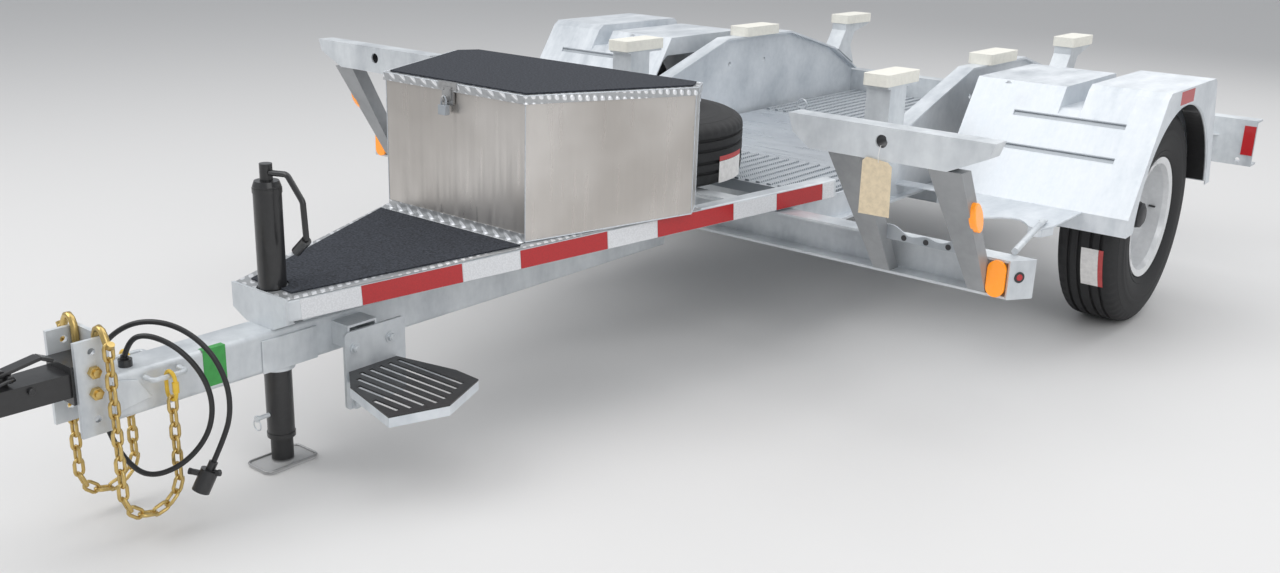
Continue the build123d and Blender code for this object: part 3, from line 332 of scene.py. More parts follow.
# ---------------------------------------------------------------- small geometry kit
class Batch:
    """Collects solids that share a material and a body into one piece."""

    def __init__(self):
        self.verts = []
        self.faces = []

    def add(self, verts, faces):
        start = len(self.verts)
        self.verts += [Vector(v) for v in verts]
        self.faces += [tuple(start + i for i in f) for f in faces]
        return self

    def prism(self, outline, shift):
        """Closed outline of points, swept along shift."""
        n = len(outline)
        shift = Vector(shift)
        verts = [Vector(p) for p in outline] + [Vector(p) + shift for p in outline]
        faces = [tuple(range(n - 1, -1, -1)), tuple(range(n, 2 * n))]
        faces += [(i, (i + 1) % n, n + (i + 1) % n, n + i) for i in range(n)]
        return self.add(verts, faces)

    def box(self, low, high):
        x0, y0, z0 = low
        x1, y1, z1 = high
        return self.prism([(x0, y0, z0), (x1, y0, z0), (x1, y1, z0), (x0, y1, z0)], (0, 0, z1 - z0))

    def bar(self, start, end, across, width, thick):
        """Flat bar between two points; across is its width direction."""
        start, end = Vector(start), Vector(end)
        along = (end - start).normalized()
        across = Vector(across)
        across = (across - along * across.dot(along)).normalized()
        normal = along.cross(across)
        w = across * (width / 2)
        t = normal * (thick / 2)
        return self.prism([start - w - t, start + w - t, start + w + t, start - w + t], end - start)

    def rod(self, start, end, radius, sides=20, end_radius=None):
        start, end = Vector(start), Vector(end)
        along = (end - start).normalized()
        side = along.orthogonal().normalized()
        other = along.cross(side)
        far = radius if end_radius is None else end_radius
        turns = [2 * math.pi * i / sides for i in range(sides)]
        ring = [side * math.cos(turn) + other * math.sin(turn) for turn in turns]
        verts = [start + v * radius for v in ring] + [end + v * far for v in ring]
        faces = [tuple(range(sides - 1, -1, -1)), tuple(range(sides, 2 * sides))]
        faces += [(i, (i + 1) % sides, sides + (i + 1) % sides, sides + i) for i in range(sides)]
        return self.add(verts, faces)

    def tube(self, points, radius, sides=10, closed=False):
        """Round wire along points."""
        points = [Vector(p) for p in points]
        n = len(points)
        before = None
        verts = []
        for i, p in enumerate(points):
            a = points[(i - 1) % n] if closed or i else p
            b = points[(i + 1) % n] if closed or i < n - 1 else p
            t = (b - a).normalized()
            side = t.orthogonal() if before is None else before - t * before.dot(t)
            side.normalize()
            before = side
            other = t.cross(side)
            for k in range(sides):
                turn = 2 * math.pi * k / sides
                verts.append(p + (side * math.cos(turn) + other * math.sin(turn)) * radius)
        faces = []
        for i in range(n if closed else n - 1):
            j = (i + 1) % n
            for k in range(sides):
                m = (k + 1) % sides
                faces.append((i * sides + k, i * sides + m, j * sides + m, j * sides + k))
        if not closed:
            faces.append(tuple(range(sides - 1, -1, -1)))
            faces.append(tuple((n - 1) * sides + k for k in range(sides)))
        return self.add(verts, faces)

    def done(self, name, key, body="chassis", slot=None, smooth=None, bevel=0.0):
        """Makes the piece; smooth is the angle in degrees under which edges are shaded smooth."""
        mesh = bpy.data.meshes.new(name)
        mesh.from_pydata([tuple(v) for v in self.verts], [], self.faces)
        mesh.update()
        mesh.materials.append(M[key])
        piece = bpy.data.objects.new(name, mesh)
        scene.collection.objects.link(piece)
        if smooth is not None:
            mesh.polygons.foreach_set("use_smooth", [True] * len(mesh.polygons))
            mesh.set_sharp_from_angle(angle=math.radians(smooth))
        if bevel:
            soften = piece.modifiers.new("bevel", "BEVEL")
            soften.width = bevel
            soften.segments = 2
            soften.limit_method = "ANGLE"
        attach(piece, body)
        return piece


def ring_points(centre, u, v, radius, count=16, other=None):
    """Points on a circle or ellipse spanned by two directions."""
    centre, u, v = Vector(centre), Vector(u), Vector(v)
    other = radius if other is None else other
    turns = [2 * math.pi * i / count for i in range(count)]
    return [centre + u * radius * math.cos(turn) + v * other * math.sin(turn) for turn in turns]


# ---------------------------------------------------------------- lamp cable
CABLE_D = 0.012
CABLE_ROUTE = (
    (10, -3030, 390), (20, -3022, 430), (64, -3002, 446), (112, -2966, 420), (142, -2930, 358),
    (148, -2912, 280), (140, -2928, 205), (122, -2984, 150), (78, -3040, 128), (8, -3052, 152),
    (-58, -3050, 205), (-96, -3046, 280), (-92, -3040, 362), (-46, -3028, 424), (20, -2996, 466),
    (92, -2952, 462), (148, -2912, 410), (172, -2890, 332), (172, -2888, 256), (160, -2904, 196),
    (152, -2926, 150))
route = [Vector((x / 1000, AXLE_Y + y / 1000, z / 1000)) for x, y, z in CABLE_ROUTE]
cable_data = bpy.data.curves.new("lamp_cable_line", "CURVE")
cable_data.dimensions = "3D"
cable_data.bevel_depth = CABLE_D / 2
cable_data.bevel_resolution = 5
cable_data.resolution_u = 12
spline = cable_data.splines.new("NURBS")
spline.points.add(len(route) - 1)
for point, p in zip(spline.points, route):
    point.co = (*p, 1)
spline.order_u = 3
spline.use_endpoint_u = True
cable_data.materials.append(M["cable"])
cable = bpy.data.objects.new("lamp_cable_line", cable_data)
scene.collection.objects.link(cable)
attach(cable, "chassis")
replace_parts(cable, "lamp_cable")
dense = [Vector(p) for p in route]
for cut in range(3):
    inner = [q for a, b in zip(dense, dense[1:]) for q in (a.lerp(b, 0.25), a.lerp(b, 0.75))]
    dense = [dense[0], *inner, dense[-1]]

# ---------------------------------------------------------------- tyres with ribs, sipes and side-wall rings
TYRE_R = 0.3678
GROOVES = (0.019, 0.051)
GROOVE_HALF = 0.0048
GROOVE_DEPTH = 0.009
# Distance along the axle from the tyre's middle, and depth below the tread.
SHOULDER = ((0.068, 0.0016), (0.075, 0.003), (0.083, 0.008), (0.090, 0.016))
SIDE_WALL = ((0.0965, 0.030), (0.0975, 0.033), (0.0985, 0.0335), (0.1015, 0.050), (0.1035, 0.066),
             (0.1046, 0.068), (0.1048, 0.080), (0.1040, 0.086), (0.1046, 0.088), (0.1036, 0.106),
             (0.1006, 0.124), (0.0960, 0.138), (0.0975, 0.140), (0.0940, 0.150), (0.0900, 0.1575))


def tyre_profile():
    """Half profile from the middle outwards: (axial, radius, row kind)."""
    rows = [(0.0, TYRE_R, "rib")]
    for g in GROOVES:
        rows += [(g - GROOVE_HALF - 0.001, TYRE_R - 0.0002, "rib"),
                 (g - GROOVE_HALF + 0.001, TYRE_R - GROOVE_DEPTH, "rib"),
                 (g + GROOVE_HALF - 0.001, TYRE_R - GROOVE_DEPTH, "rib"),
                 (g + GROOVE_HALF + 0.001, TYRE_R - 0.0006, "rib")]
    rows += [(0.060, TYRE_R - 0.0009, "rib")]
    rows += [(x, TYRE_R - depth, "sipe") for x, depth in SHOULDER]
    rows += [(x, TYRE_R - depth, "wall") for x, depth in SIDE_WALL]
    rows.append((0.0830, 0.2068, "wall"))
    return rows


def build_tyre(name, centre, axis, body, replaced):
    centre, axis = Vector(centre), Vector(axis)
    u = Vector((0, 0, 1)) if abs(axis.z) < 0.5 else Vector((1, 0, 0))
    v = axis.cross(u)
    half = tyre_profile()
    rows = [(-a, r, k) for a, r, k in reversed(half)] + half[1:]
    steps = 240
    verts = []
    for i in range(steps):
        turn = 2 * math.pi * i / steps
        radial = u * math.cos(turn) + v * math.sin(turn)
        for a, r, kind in rows:
            cut = 0.0035 if kind == "sipe" and i % 4 == 0 else 0.0
            verts.append(centre + axis * a + radial * (r - cut))
    n = len(rows)
    faces = []
    for i in range(steps):
        j = (i + 1) % steps
        for k in range(n):
            m = (k + 1) % n
            faces.append((i * n + k, j * n + k, j * n + m, i * n + m))
    piece = Batch().add(verts, faces).done(name, "rubber", body, "tyre_rubber", 38)
    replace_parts(piece, replaced)


for side, s in (("left", 1), ("right", -1)):
    build_tyre(f"tyre_tread_{side}", (s * WHEEL_X, AXLE_Y, WHEEL_Z), (1, 0, 0), f"wheel_{side}", f"tyre_{side}")
build_tyre("spare_tread", SPARE, (0, 0, 1), "chassis", "spare_tyre")

# ---------------------------------------------------------------- safety chains in round wire
CHAIN_X = 0.090
CHAIN_FRONT = -1.957
CHAIN_BACK = -1.825
CHAIN_TOP = 0.440
LINKS = 23
WIRE = 0.0041
RING_Z = 0.328
RING_LOW = 0.300
bend_r = (CHAIN_BACK - CHAIN_FRONT) / 2
bend_z = 0.050 + bend_r
drop = CHAIN_TOP - bend_z
half_loop = math.pi * bend_r
pitch = (drop + half_loop + RING_LOW - bend_z) / (LINKS - 0.5)
link_half = (pitch + 4 * WIRE - 0.0012) / 2 - WIRE
link_side = 0.0136 - WIRE


def stadium(centre, along, across, reach, side, count=5):
    """Centre line of a long link: two straight sides joined by half rounds."""
    points = []
    for end in (1, -1):
        middle = centre + along * ((reach - side) * end)
        for i in range(count + 1):
            turn = math.pi * i / count - math.pi / 2
            points.append(middle + along * (side * math.cos(turn) * end)
                          + across * (side * math.sin(turn) * end))
    return points


chains = Batch()
connectors = Batch()
for s in (1, -1):
    for i in range(LINKS):
        travel = i * pitch
        if travel < drop:
            y, z, heading = CHAIN_FRONT, CHAIN_TOP - travel, -math.pi / 2
        elif travel < drop + half_loop:
            a = (travel - drop) / bend_r
            y = CHAIN_FRONT + bend_r * (1 - math.cos(a))
            z = bend_z - bend_r * math.sin(a)
            heading = a - math.pi / 2
        else:
            y, z, heading = CHAIN_BACK, bend_z + travel - drop - half_loop, math.pi / 2
        along = Vector((0, math.cos(heading), math.sin(heading)))
        sideways = Vector((1, 0, 0))
        across = along.cross(sideways) if i % 2 == 0 else sideways
        link = stadium(Vector((s * CHAIN_X, y, z)), along, across, link_half, link_side)
        chains.tube(link, WIRE, 8, True)
    middle = Vector((s * CHAIN_X, CHAIN_BACK, RING_Z))
    link = stadium(middle, Vector((0, 0, 1)), Vector((1, 0, 0)), 0.0325, 0.0175, 8)
    connectors.tube(link, 0.0045, 10, True)
    nut = middle + Vector((s * 0.0175, 0, 0))
    connectors.rod(nut - Vector((0, 0, 0.012)), nut + Vector((0, 0, 0.012)), 0.0075, 6)
chain_piece = chains.done("chain_links", "gold", "chassis", "gold_zinc", 60)
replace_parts(chain_piece, "safety_chains")
connectors.done("chain_connectors", "yellow", "chassis", "gold_zinc", 60)

# ---------------------------------------------------------------- reflective tape on the rails
RAIL_TAPE = ((0.030, 0.181, "tape_white"), (0.181, 0.449, "tape_red"), (0.449, 0.614, "tape_white"),
             (0.614, 0.881, "tape_red"), (0.881, 1.044, "tape_white"), (1.044, 1.310, "tape_red"),
             (1.310, 1.470, "tape_white"), (1.470, 1.649, "tape_red"), (1.649, 1.695, "tape_white"))
tapes = {"tape_red": Batch(), "tape_white": Batch()}
for s in (1, -1):
    start = Vector((s * 0.098, -1.524, 0.450))
    end = Vector((s * 0.600, 0.100, 0.560))
    along = (end - start).normalized()
    across = Vector((s * along.y, -s * along.x, 0)).normalized()
    rise = along.cross(across) * -s
    line = start + across * 0.0005 - rise * 0.0285
    for t0, t1, key in RAIL_TAPE:
        tapes[key].bar(line + along * (t0 + 0.0008), line + along * (t1 - 0.0008), rise, 0.049, 0.0006)
for key, batch in tapes.items():
    batch.done(f"rail_{key}", key, "chassis", "galvanised")

# ---------------------------------------------------------------- chain hooks: bent round bar over the channel
hooks = Batch()
for s in (1, -1):
    path = [(0.0410, 0.416), (0.0405, 0.445), (0.0420, 0.468), (0.0490, 0.4810), (0.0600, 0.4865),
            (0.0710, 0.4830), (0.0790, 0.4720), (0.0840, 0.4600), (0.0900, 0.4530), (0.0975, 0.4530),
            (0.1030, 0.4620)]
    hooks.tube([(s * x, CHAIN_FRONT, z) for x, z in path], 0.0080, 14)
    hooks.rod((s * 0.0965, CHAIN_FRONT, 0.452), (s * 0.0775, CHAIN_FRONT, 0.474), 0.0025, 8)
hook_piece = hooks.done("chain_hook_bars", "gold", "chassis", "gold_zinc", 50)
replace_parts(hook_piece, "chain_hooks")

# ---------------------------------------------------------------- wings and struts between cross-member and fenders
LIP_Y = AXLE_Y - 0.455
wings = Batch()
struts = Batch()
WING = ((0.535, 0.0003), (0.535, 0.062), (0.800, 0.062), (0.872, 0.285), (0.910, 0.297), (0.948, 0.292),
        (0.985, 0.245), (1.012, 0.229), (1.042, 0.230), (1.066, 0.252), (1.092, 0.288), (1.116, 0.300),
        (1.134, 0.290), (1.150, 0.236), (1.150, 0.0003))
for s in (1, -1):
    outline = [(s * x, LIP_Y - y, 0.446) for x, y in WING]
    wings.prism(outline, (0, 0, 0.006))
    fold = [(s * x, LIP_Y - y, 0.446) for x, y in WING[10:14]]
    for a, b in zip(fold, fold[1:]):
        lowered = Vector((0, 0, 0.011))
        wings.bar(Vector(a) - lowered, Vector(b) - lowered, (0, 0, 1), 0.022, 0.004)
    low = Vector((s * 1.234, -0.051, 0.496))
    high = Vector((s * 1.120, LIP_Y - 0.250, 0.4625))
    struts.rod(low, high, 0.009, 20)
    struts.bar(high, high + (high - low).normalized() * 0.035, (1, 0, 0), 0.022, 0.007)
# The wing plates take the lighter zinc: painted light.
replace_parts(wings.done("wing_plates", "galv_painted_light", "chassis", "galvanised", None, 0.0012), "fender_wings")
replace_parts(struts.done("wing_struts", "galv", "chassis", "galvanised", 40), "fender_struts")

# ---------------------------------------------------------------- toolbox: shell, lid, seams, hasp, padlock, hinges
def deck_z(y):
    """Height of the sloping deck's upper face."""
    return 0.4533 + (y + 1.524) * 0.110 / 1.624


def grown(plan, reach):
    """Plan with every edge moved out by reach; corners run anticlockwise from above."""
    moved = []
    for i, here in enumerate(plan):
        before = (here - plan[i - 1]).normalized()
        after = (plan[(i + 1) % len(plan)] - here).normalized()
        n0 = Vector((before.y, -before.x))
        n1 = Vector((after.y, -after.x))
        moved.append(here + (n0 + n1) * (reach / (1 + n0.dot(n1))))
    return moved


def tray(batch, outer, inner, shut, rim, sheet):
    """Sheet tray with walls between two plans; shut gives the closed side's height at y."""
    n = len(outer)
    rings = [[(q.x, q.y, shut(q.y)) for q in outer], [(q.x, q.y, rim) for q in outer],
             [(q.x, q.y, rim) for q in inner], [(q.x, q.y, shut(q.y) + sheet) for q in inner]]
    faces = [tuple(range(n - 1, -1, -1)), tuple(range(3 * n, 4 * n))]
    faces += [(k * n + i, k * n + (i + 1) % n, (k + 1) * n + (i + 1) % n, (k + 1) * n + i)
              for k in range(3) for i in range(n)]
    batch.add([v for ring in rings for v in ring], faces)


RIGHT_PLAN = [Vector(q) for q in ((0.262, -0.902), (0.462, -0.450), (0.425, -0.382))]
BOX_PLAN = RIGHT_PLAN + [Vector((-q.x, q.y)) for q in reversed(RIGHT_PLAN)]
body = Batch()
tray(body, BOX_PLAN, grown(BOX_PLAN, -0.003), lambda y: deck_z(y) + 0.0008, 0.8740, 0.003)
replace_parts(body.done("toolbox_shell", "alu", "chassis", "mill_aluminium"), "toolbox_body")
lid = Batch()
tray(lid, grown(BOX_PLAN, 0.007), grown(BOX_PLAN, 0.0045), lambda y: 0.8778, 0.8560, -0.0028)
lid.box((-0.425, -0.3780, 0.8260), (0.425, -0.3755, 0.8600))
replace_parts(lid.done("lid_tray", "tread", "toolbox_lid", "mill_aluminium", None, 0.0006), "toolbox_lid")
mat_low, mat_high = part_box("toolbox_lid_mat")
lid_mat = Batch()
lid_mat.prism([(q.x, q.y, mat_low.z) for q in grown(BOX_PLAN, -0.010)], (0, 0, mat_high.z - mat_low.z))
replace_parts(lid_mat.done("lid_grip_mat", "mat", "toolbox_lid", "mat_rubber"), "toolbox_lid_mat")

foot = Batch()
for y, z, across in ((-0.9145, deck_z(-0.915) + 0.0016, (0, 1, 0)), (-0.9034, deck_z(-0.902) + 0.012, (0, 0, 1))):
    foot.bar((-0.262, y, z), (0.262, y, z), across, 0.022, 0.0016)
foot.done("toolbox_foot", "tread", "chassis", "mill_aluminium")

seams = Batch()
for q in BOX_PLAN:
    seams.rod((q.x, q.y, deck_z(q.y) + 0.004), (q.x, q.y, 0.855), 0.0016, 8)
for q, r in zip(BOX_PLAN, BOX_PLAN[1:] + BOX_PLAN[:1]):
    seams.rod((q.x, q.y, deck_z(q.y) + 0.0024), (r.x, r.y, deck_z(r.y) + 0.0024), 0.0022, 8)
seams.done("toolbox_seams", "weld", "chassis", "mill_aluminium", 60)

lid_rim = Batch()
edge = grown(BOX_PLAN, 0.0058)
for q, r in zip(edge, edge[1:] + edge[:1]):
    lid_rim.rod((q.x, q.y, 0.8772), (r.x, r.y, 0.8772), 0.0016, 8)
lid_rim.done("lid_rim", "weld", "toolbox_lid", "mill_aluminium", 60)

hasp = Batch()
hasp.box((-0.044, -0.9105, 0.8779), (0.024, -0.8960, 0.8795))
hasp.box((-0.044, -0.9115, 0.8600), (0.024, -0.9095, 0.8795))
hasp.box((-0.026, -0.9150, 0.836), (0.006, -0.9115, 0.868))
for x in (-0.022, 0.002):
    hasp.rod((x, -0.9150, 0.862), (x, -0.9175, 0.862), 0.0035, 12)
hasp.tube(ring_points((-0.010, -0.9235, 0.838), (0, 1, 0), (0, 0, 1), 0.0085, 16), 0.0022, 8, True)
hasp.done("hasp_staple", "steel", "toolbox_lid", "hardware_steel", 50)
lock = Batch()
lock.box((-0.024, -0.9330, 0.796), (0.004, -0.9170, 0.822))
SHACKLE = ((-0.019, 0.820), (-0.019, 0.836), (-0.015, 0.843), (-0.010, 0.8455), (-0.005, 0.843),
           (-0.001, 0.836), (-0.001, 0.820))
lock.tube([(x, -0.925, z) for x, z in SHACKLE], 0.0026, 8)
lock.done("hasp_lock", "galv_dark", "toolbox_lid", "hardware_steel", 50, 0.002)

hinge = Batch()
for x in (-0.30, 0.0, 0.30):
    hinge.rod((x - 0.05, -0.3735, 0.826), (x + 0.05, -0.3735, 0.826), 0.0045, 14)
    hinge.box((x - 0.048, -0.3812, 0.790), (x + 0.048, -0.3788, 0.822))
hinge.done("lid_hinges", "steel", "chassis", "hardware_steel", 50)

# ---------------------------------------------------------------- bolts, washers and nuts
def hexagon(batch, centre, axis, radius, height, washer=0.0):
    """Hexagon head standing on a face at centre, pointing along axis, with a washer."""
    centre, axis = Vector(centre), Vector(axis)
    if washer:
        batch.rod(centre, centre + axis * 0.0028, washer, 24)
    batch.rod(centre, centre + axis * (height + 0.0028), radius, 6)
    crown = centre + axis * (height + 0.0025)
    batch.rod(crown, centre + axis * (height + 0.0045), radius * 0.72, 18, radius * 0.55)


bracket_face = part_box("step_bracket")[1].x
bolts = Batch()
for y, z in ((-1.352, 0.292), (-1.240, 0.292), (-1.352, 0.148)):
    hexagon(bolts, (bracket_face, y, z), (1, 0, 0), 0.0105, 0.008, 0.0150)
for s in (1, -1):
    hexagon(bolts, (s * 0.531 + s * 0.0045, 0.30, 0.560), (s, 0, 0), 0.010, 0.007, 0.015)
    for x in (0.885, 1.167):
        hexagon(bolts, (s * x, -0.1165, 0.432), (0, -1, 0), 0.009, 0.006, 0.014)
    for y in (0.85, 1.28):
        hexagon(bolts, (s * 0.80, y, 0.7352 if y > 1.0 else 0.8003), (0, 0, 1), 0.006, 0.004, 0.010)
bolts.done("bolt_heads", "galv", "chassis", "hardware_steel", 40)

for side, s in (("left", 1), ("right", -1)):
    nuts = Batch()
    for i in range(6):
        turn = 2 * math.pi * i / 6 + 0.3
        place = (s * 1.1545, AXLE_Y + 0.0700 * math.cos(turn), WHEEL_Z + 0.0700 * math.sin(turn))
        hexagon(nuts, place, (s, 0, 0), 0.0118, 0.020)
    for inner_x, outer_x, r0, r1 in ((1.1788, 1.2040, 0.0440, 0.0420), (1.2038, 1.2110, 0.0420, 0.0300)):
        nuts.rod((s * inner_x, AXLE_Y, WHEEL_Z), (s * outer_x, AXLE_Y, WHEEL_Z), r0, 36, r1)
    nuts.done(f"lug_nuts_{side}", "dark", f"wheel_{side}", "hub_dark", 40)
    valve = Batch()
    valve.rod((s * 1.176, AXLE_Y + 0.168, WHEEL_Z), (s * 1.198, AXLE_Y + 0.164, WHEEL_Z), 0.0035, 10)
    valve.done(f"valve_{side}", "black", f"wheel_{side}", "mat_rubber", 40)

# ---------------------------------------------------------------- boarding step: slotted black top on a pale skirt
def clipped(outline, axis, low, high):
    """Part of a convex outline between two values of one coordinate."""
    points = [Vector(q) for q in outline]
    for sign, limit in ((1, low), (-1, -high)):
        kept = []
        for i, here in enumerate(points):
            before = points[i - 1]
            a, b = before[axis] * sign - limit, here[axis] * sign - limit
            if a * b < 0:
                kept.append(before.lerp(here, a / (a - b)))
            if b >= 0:
                kept.append(here)
        points = kept
    return points


STEP_TOP = 0.2358
STEP_PLAN = [Vector(q) for q in ((0.1216, -1.372), (0.196, -1.430), (0.396, -1.485), (0.446, -1.345),
                                 (0.384, -1.192), (0.300, -1.186), (0.1216, -1.222))]
top = Batch()
rows = [-1.446 + 0.030 * i for i in range(8)]
edges = [-1.486] + [y + k for y in rows for k in (-0.0065, 0.0065)] + [-1.180]
for i, (y0, y1) in enumerate(zip(edges, edges[1:])):
    band = clipped(STEP_PLAN, 1, y0, y1)
    if len(band) < 3:
        continue
    if i % 2:
        middle = (min(q.x for q in band) + max(q.x for q in band)) / 2
        left = max(q.x for q in band if q.x < middle) + 0.022
        right = min(q.x for q in band if q.x > middle) - 0.024
        parts = [clipped(band, 0, 0.0, left), clipped(band, 0, right, 1.0)]
    else:
        parts = [band]
    for part in parts:
        if len(part) > 2:
            top.prism([(q.x, q.y, STEP_TOP - 0.004) for q in part], (0, 0, 0.004))
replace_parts(top.done("step_top", "black", "chassis", "black_paint"), "step_tread")
skirt = Batch()
inside = grown(STEP_PLAN, -0.003)
n = len(STEP_PLAN)
corners = ((STEP_PLAN, 0.028), (STEP_PLAN, 0.0035), (inside, 0.0035), (inside, 0.028))
verts = [(q.x, q.y, STEP_TOP - depth) for plan, depth in corners for q in plan]
skirt.add(verts, [(k * n + i, k * n + (i + 1) % n, (k + 1) % 4 * n + (i + 1) % n, (k + 1) % 4 * n + i)
                  for k in range(4) for i in range(n)])
# The skirt takes the lighter zinc: painted light.
skirt.done("step_skirt", "galv_painted_light", "chassis", "galvanised", None, 0.0006)

# ---------------------------------------------------------------- plug ears, jack pin, foot rim and collars
plug_low, plug_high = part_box("cable_plug")
plug_mid = (plug_low + plug_high) / 2
ears = Batch()
for turn in (0.6, 3.74):
    root = Vector((plug_mid.x, plug_mid.y, plug_high.z - 0.030))
    reach = Vector((math.cos(turn), math.sin(turn), 0.15))
    ears.bar(root + reach * 0.010, root + reach * 0.034, (0, 0, 1), 0.012, 0.008)
    ears.rod(root + reach * 0.030, root + reach * 0.036, 0.0075, 12)
ears.done("plug_ears", "black", "chassis", "plug_black", 40, 0.001)
jack = Batch()
jack.rod((0, -1.5225, 0.135), (0, -1.5560, 0.135), 0.0055, 14)
jack.rod((0, -1.5540, 0.135), (0, -1.5600, 0.135), 0.0085, 14)
jack.tube(ring_points((0.003, -1.5590, 0.121), (1, 0, 0), (0, 0, 1), 0.014, 24), 0.0017, 8, True)
jack.done("jack_pin", "galv", "chassis", "hardware_steel", 40)
rim = Batch()
FOOT_X, FOOT_Y, FOOT_CORNER = 0.044, 0.074, 0.014
corner = [(FOOT_X - FOOT_CORNER + FOOT_CORNER * math.cos(math.radians(a)),
           FOOT_Y - FOOT_CORNER + FOOT_CORNER * math.sin(math.radians(a))) for a in range(0, 91, 15)]
loop = [(sx * x, sy * y) for sx, sy, order in ((1, 1, 1), (-1, 1, -1), (-1, -1, 1), (1, -1, -1))
        for x, y in corner[::order]]
rim.tube([(x, JACK_Y + y, 0.0075) for x, y in loop], 0.0030, 8, True)
rim.done("jack_foot_rim", "steel", "jack_leg", "jack_steel", 50)
collars = Batch()
for z, r in ((0.690, 0.0345), (0.0775, 0.0345)):
    collars.rod((0, JACK_Y, z - 0.006), (0, JACK_Y, z + 0.006), r, 40)
collars.done("jack_collars", "black", "chassis", "black_paint", 40)

# ---------------------------------------------------------------- nose: tape, gussets, collar plates, latch lever
green = Batch()
green.box((0.0511, -1.7200, 0.2790), (0.0517, -1.6620, 0.3680))
green.box((0.0340, -1.7200, 0.3681), (0.0517, -1.6620, 0.3686))
green.done("tube_tape", "tape_green", "chassis", "galvanised")
plates = Batch()
for s in (1, -1):
    plates.box((s * 0.0513 if s > 0 else -0.0563, -1.568, 0.268), (0.0563 if s > 0 else -0.0513, -1.412, 0.350))
    gusset = ((-1.5325, 0.369), (-1.5325, 0.448), (-1.470, 0.369))
    plates.prism([(s * 0.049, y, z) for y, z in gusset], (s * 0.006, 0, 0))
    cheek = ((-1.938, 0.286), (-1.938, 0.362), (-1.880, 0.348), (-1.850, 0.300))
    plates.prism([(s * 0.0515, y, z) for y, z in cheek], (s * 0.005, 0, 0))
plates.done("nose_plates", "galv", "chassis", "galvanised", None, 0.0015)
lever = Batch()
lever.bar((0, -2.150, 0.420), (0, -2.060, 0.436), (1, 0, 0), 0.030, 0.008)
lever.bar((0, -2.060, 0.436), (0, -2.035, 0.424), (1, 0, 0), 0.030, 0.008)
lever.rod((-0.024, -2.128, 0.412), (0.024, -2.128, 0.412), 0.008, 18)
lever.rod((-0.048, -2.100, 0.384), (0.048, -2.100, 0.384), 0.0075, 18)
lever.tube([(0.030, -2.190, 0.398), (0.034, -2.165, 0.409), (0.030, -2.140, 0.413), (0.022, -2.120, 0.410)],
           0.004, 8)
lever.done("latch_lever", "black", "chassis", "black_paint", 40, 0.0015)

# ---------------------------------------------------------------- V supports: cross plates, painted shade in the plate holes and bolster bores, lamps, tag
vplates = Batch()
hole_shades = Batch()
ovals = Batch()
lights = Batch()
sockets = Batch()
for s in (1, -1):
    top = []
    for i in range(25):
        turn = math.pi * i / 24
        top.append((0.905 + 0.237 * i / 24, 0.528 - 0.022 * math.sin(turn) + 0.006 * math.sin(5 * turn)))
    outline = [(s * x, -0.150, z) for x, z in top] + [(s * 1.160, -0.150, 0.487), (s * 0.885, -0.150, 0.487)]
    vplates.prism(outline, (0, 0.006, 0))
    # Dark discs where the plate has holes: painted shade seen through the holes.
    for x in (0.960, 1.025, 1.090):
        hole_shades.rod((s * x, -0.1508, 0.498), (s * x, -0.1500, 0.498), 0.008, 24)
    middle = Vector((s * 1.192, -0.234, 0.614))
    slope = Vector((0, -0.226, 0.3554)).normalized()
    face = Vector((s, 0, 0.07)).normalized()
    flat = slope.cross(face)
    rim = ring_points(middle, slope, flat, 0.048, 36, 0.024)
    ovals.prism([q - face * 0.010 for q in rim], face * 0.020)
    cap = Vector((s * 1.2700, -0.0925, 0.441))
    away = Vector((s * 0.826, -0.564, 0))
    sockets.rod(cap - away * 0.004, cap + away * 0.0018, 0.0150, 28)
    lights.rod(cap, cap + away * 0.0034, 0.0100, 28, 0.0080)
# The cross plates take the darker zinc: painted shade.
vplates.done("v_cross_plates", "galv_dark", "chassis", "galvanised", None, 0.001)
hole_shades.done("v_plate_hole_shades", "dark", "chassis", "galvanised")
# Dark rings inside the bolster bores: painted shade in the holes.
bore_shades = Batch()
for s in (1, -1):
    section = [(0.0171, -0.3418), (0.0205, -0.3418), (0.0205, -0.2900), (0.0171, -0.2900)]
    verts = [(s * 0.968 + r * math.cos(turn), y, 0.7915 + r * math.sin(turn))
             for turn in (2 * math.pi * i / 36 for i in range(36)) for r, y in section]
    faces = [(i * 4 + k, i * 4 + (k + 1) % 4, (i + 1) % 36 * 4 + (k + 1) % 4, (i + 1) % 36 * 4 + k)
             for i in range(36) for k in range(4)]
    bore_shades.add(verts, faces)
bore_shades.done("bolster_bore_shades", "dark", "chassis", "galvanised", 40)
ovals.done("leg_lamps", "amber", "chassis", "amber_lens", 50, 0.003)
lights.done("end_lights", "red", "chassis", "red_lens", 50)
sockets.done("end_light_seats", "dark", "chassis", "black_paint", 50)

tag = Batch()
tag.prism([(0.922, -0.3535, 0.738), (0.934, -0.3535, 0.748), (0.994, -0.3535, 0.742), (1.006, -0.3535, 0.732),
           (1.012, -0.3560, 0.602), (0.924, -0.3560, 0.600)], (0, 0.0004, 0))
tag.done("paper_tag", "paper", "chassis", "pad_plastic")
string = Batch()
string.tube([(0.968, -0.3545, 0.738), (0.966, -0.3550, 0.756), (0.967, -0.3520, 0.772), (0.968, -0.3490, 0.782)],
            0.0008, 6)
string.done("tag_string", "label", "chassis", "pad_plastic")

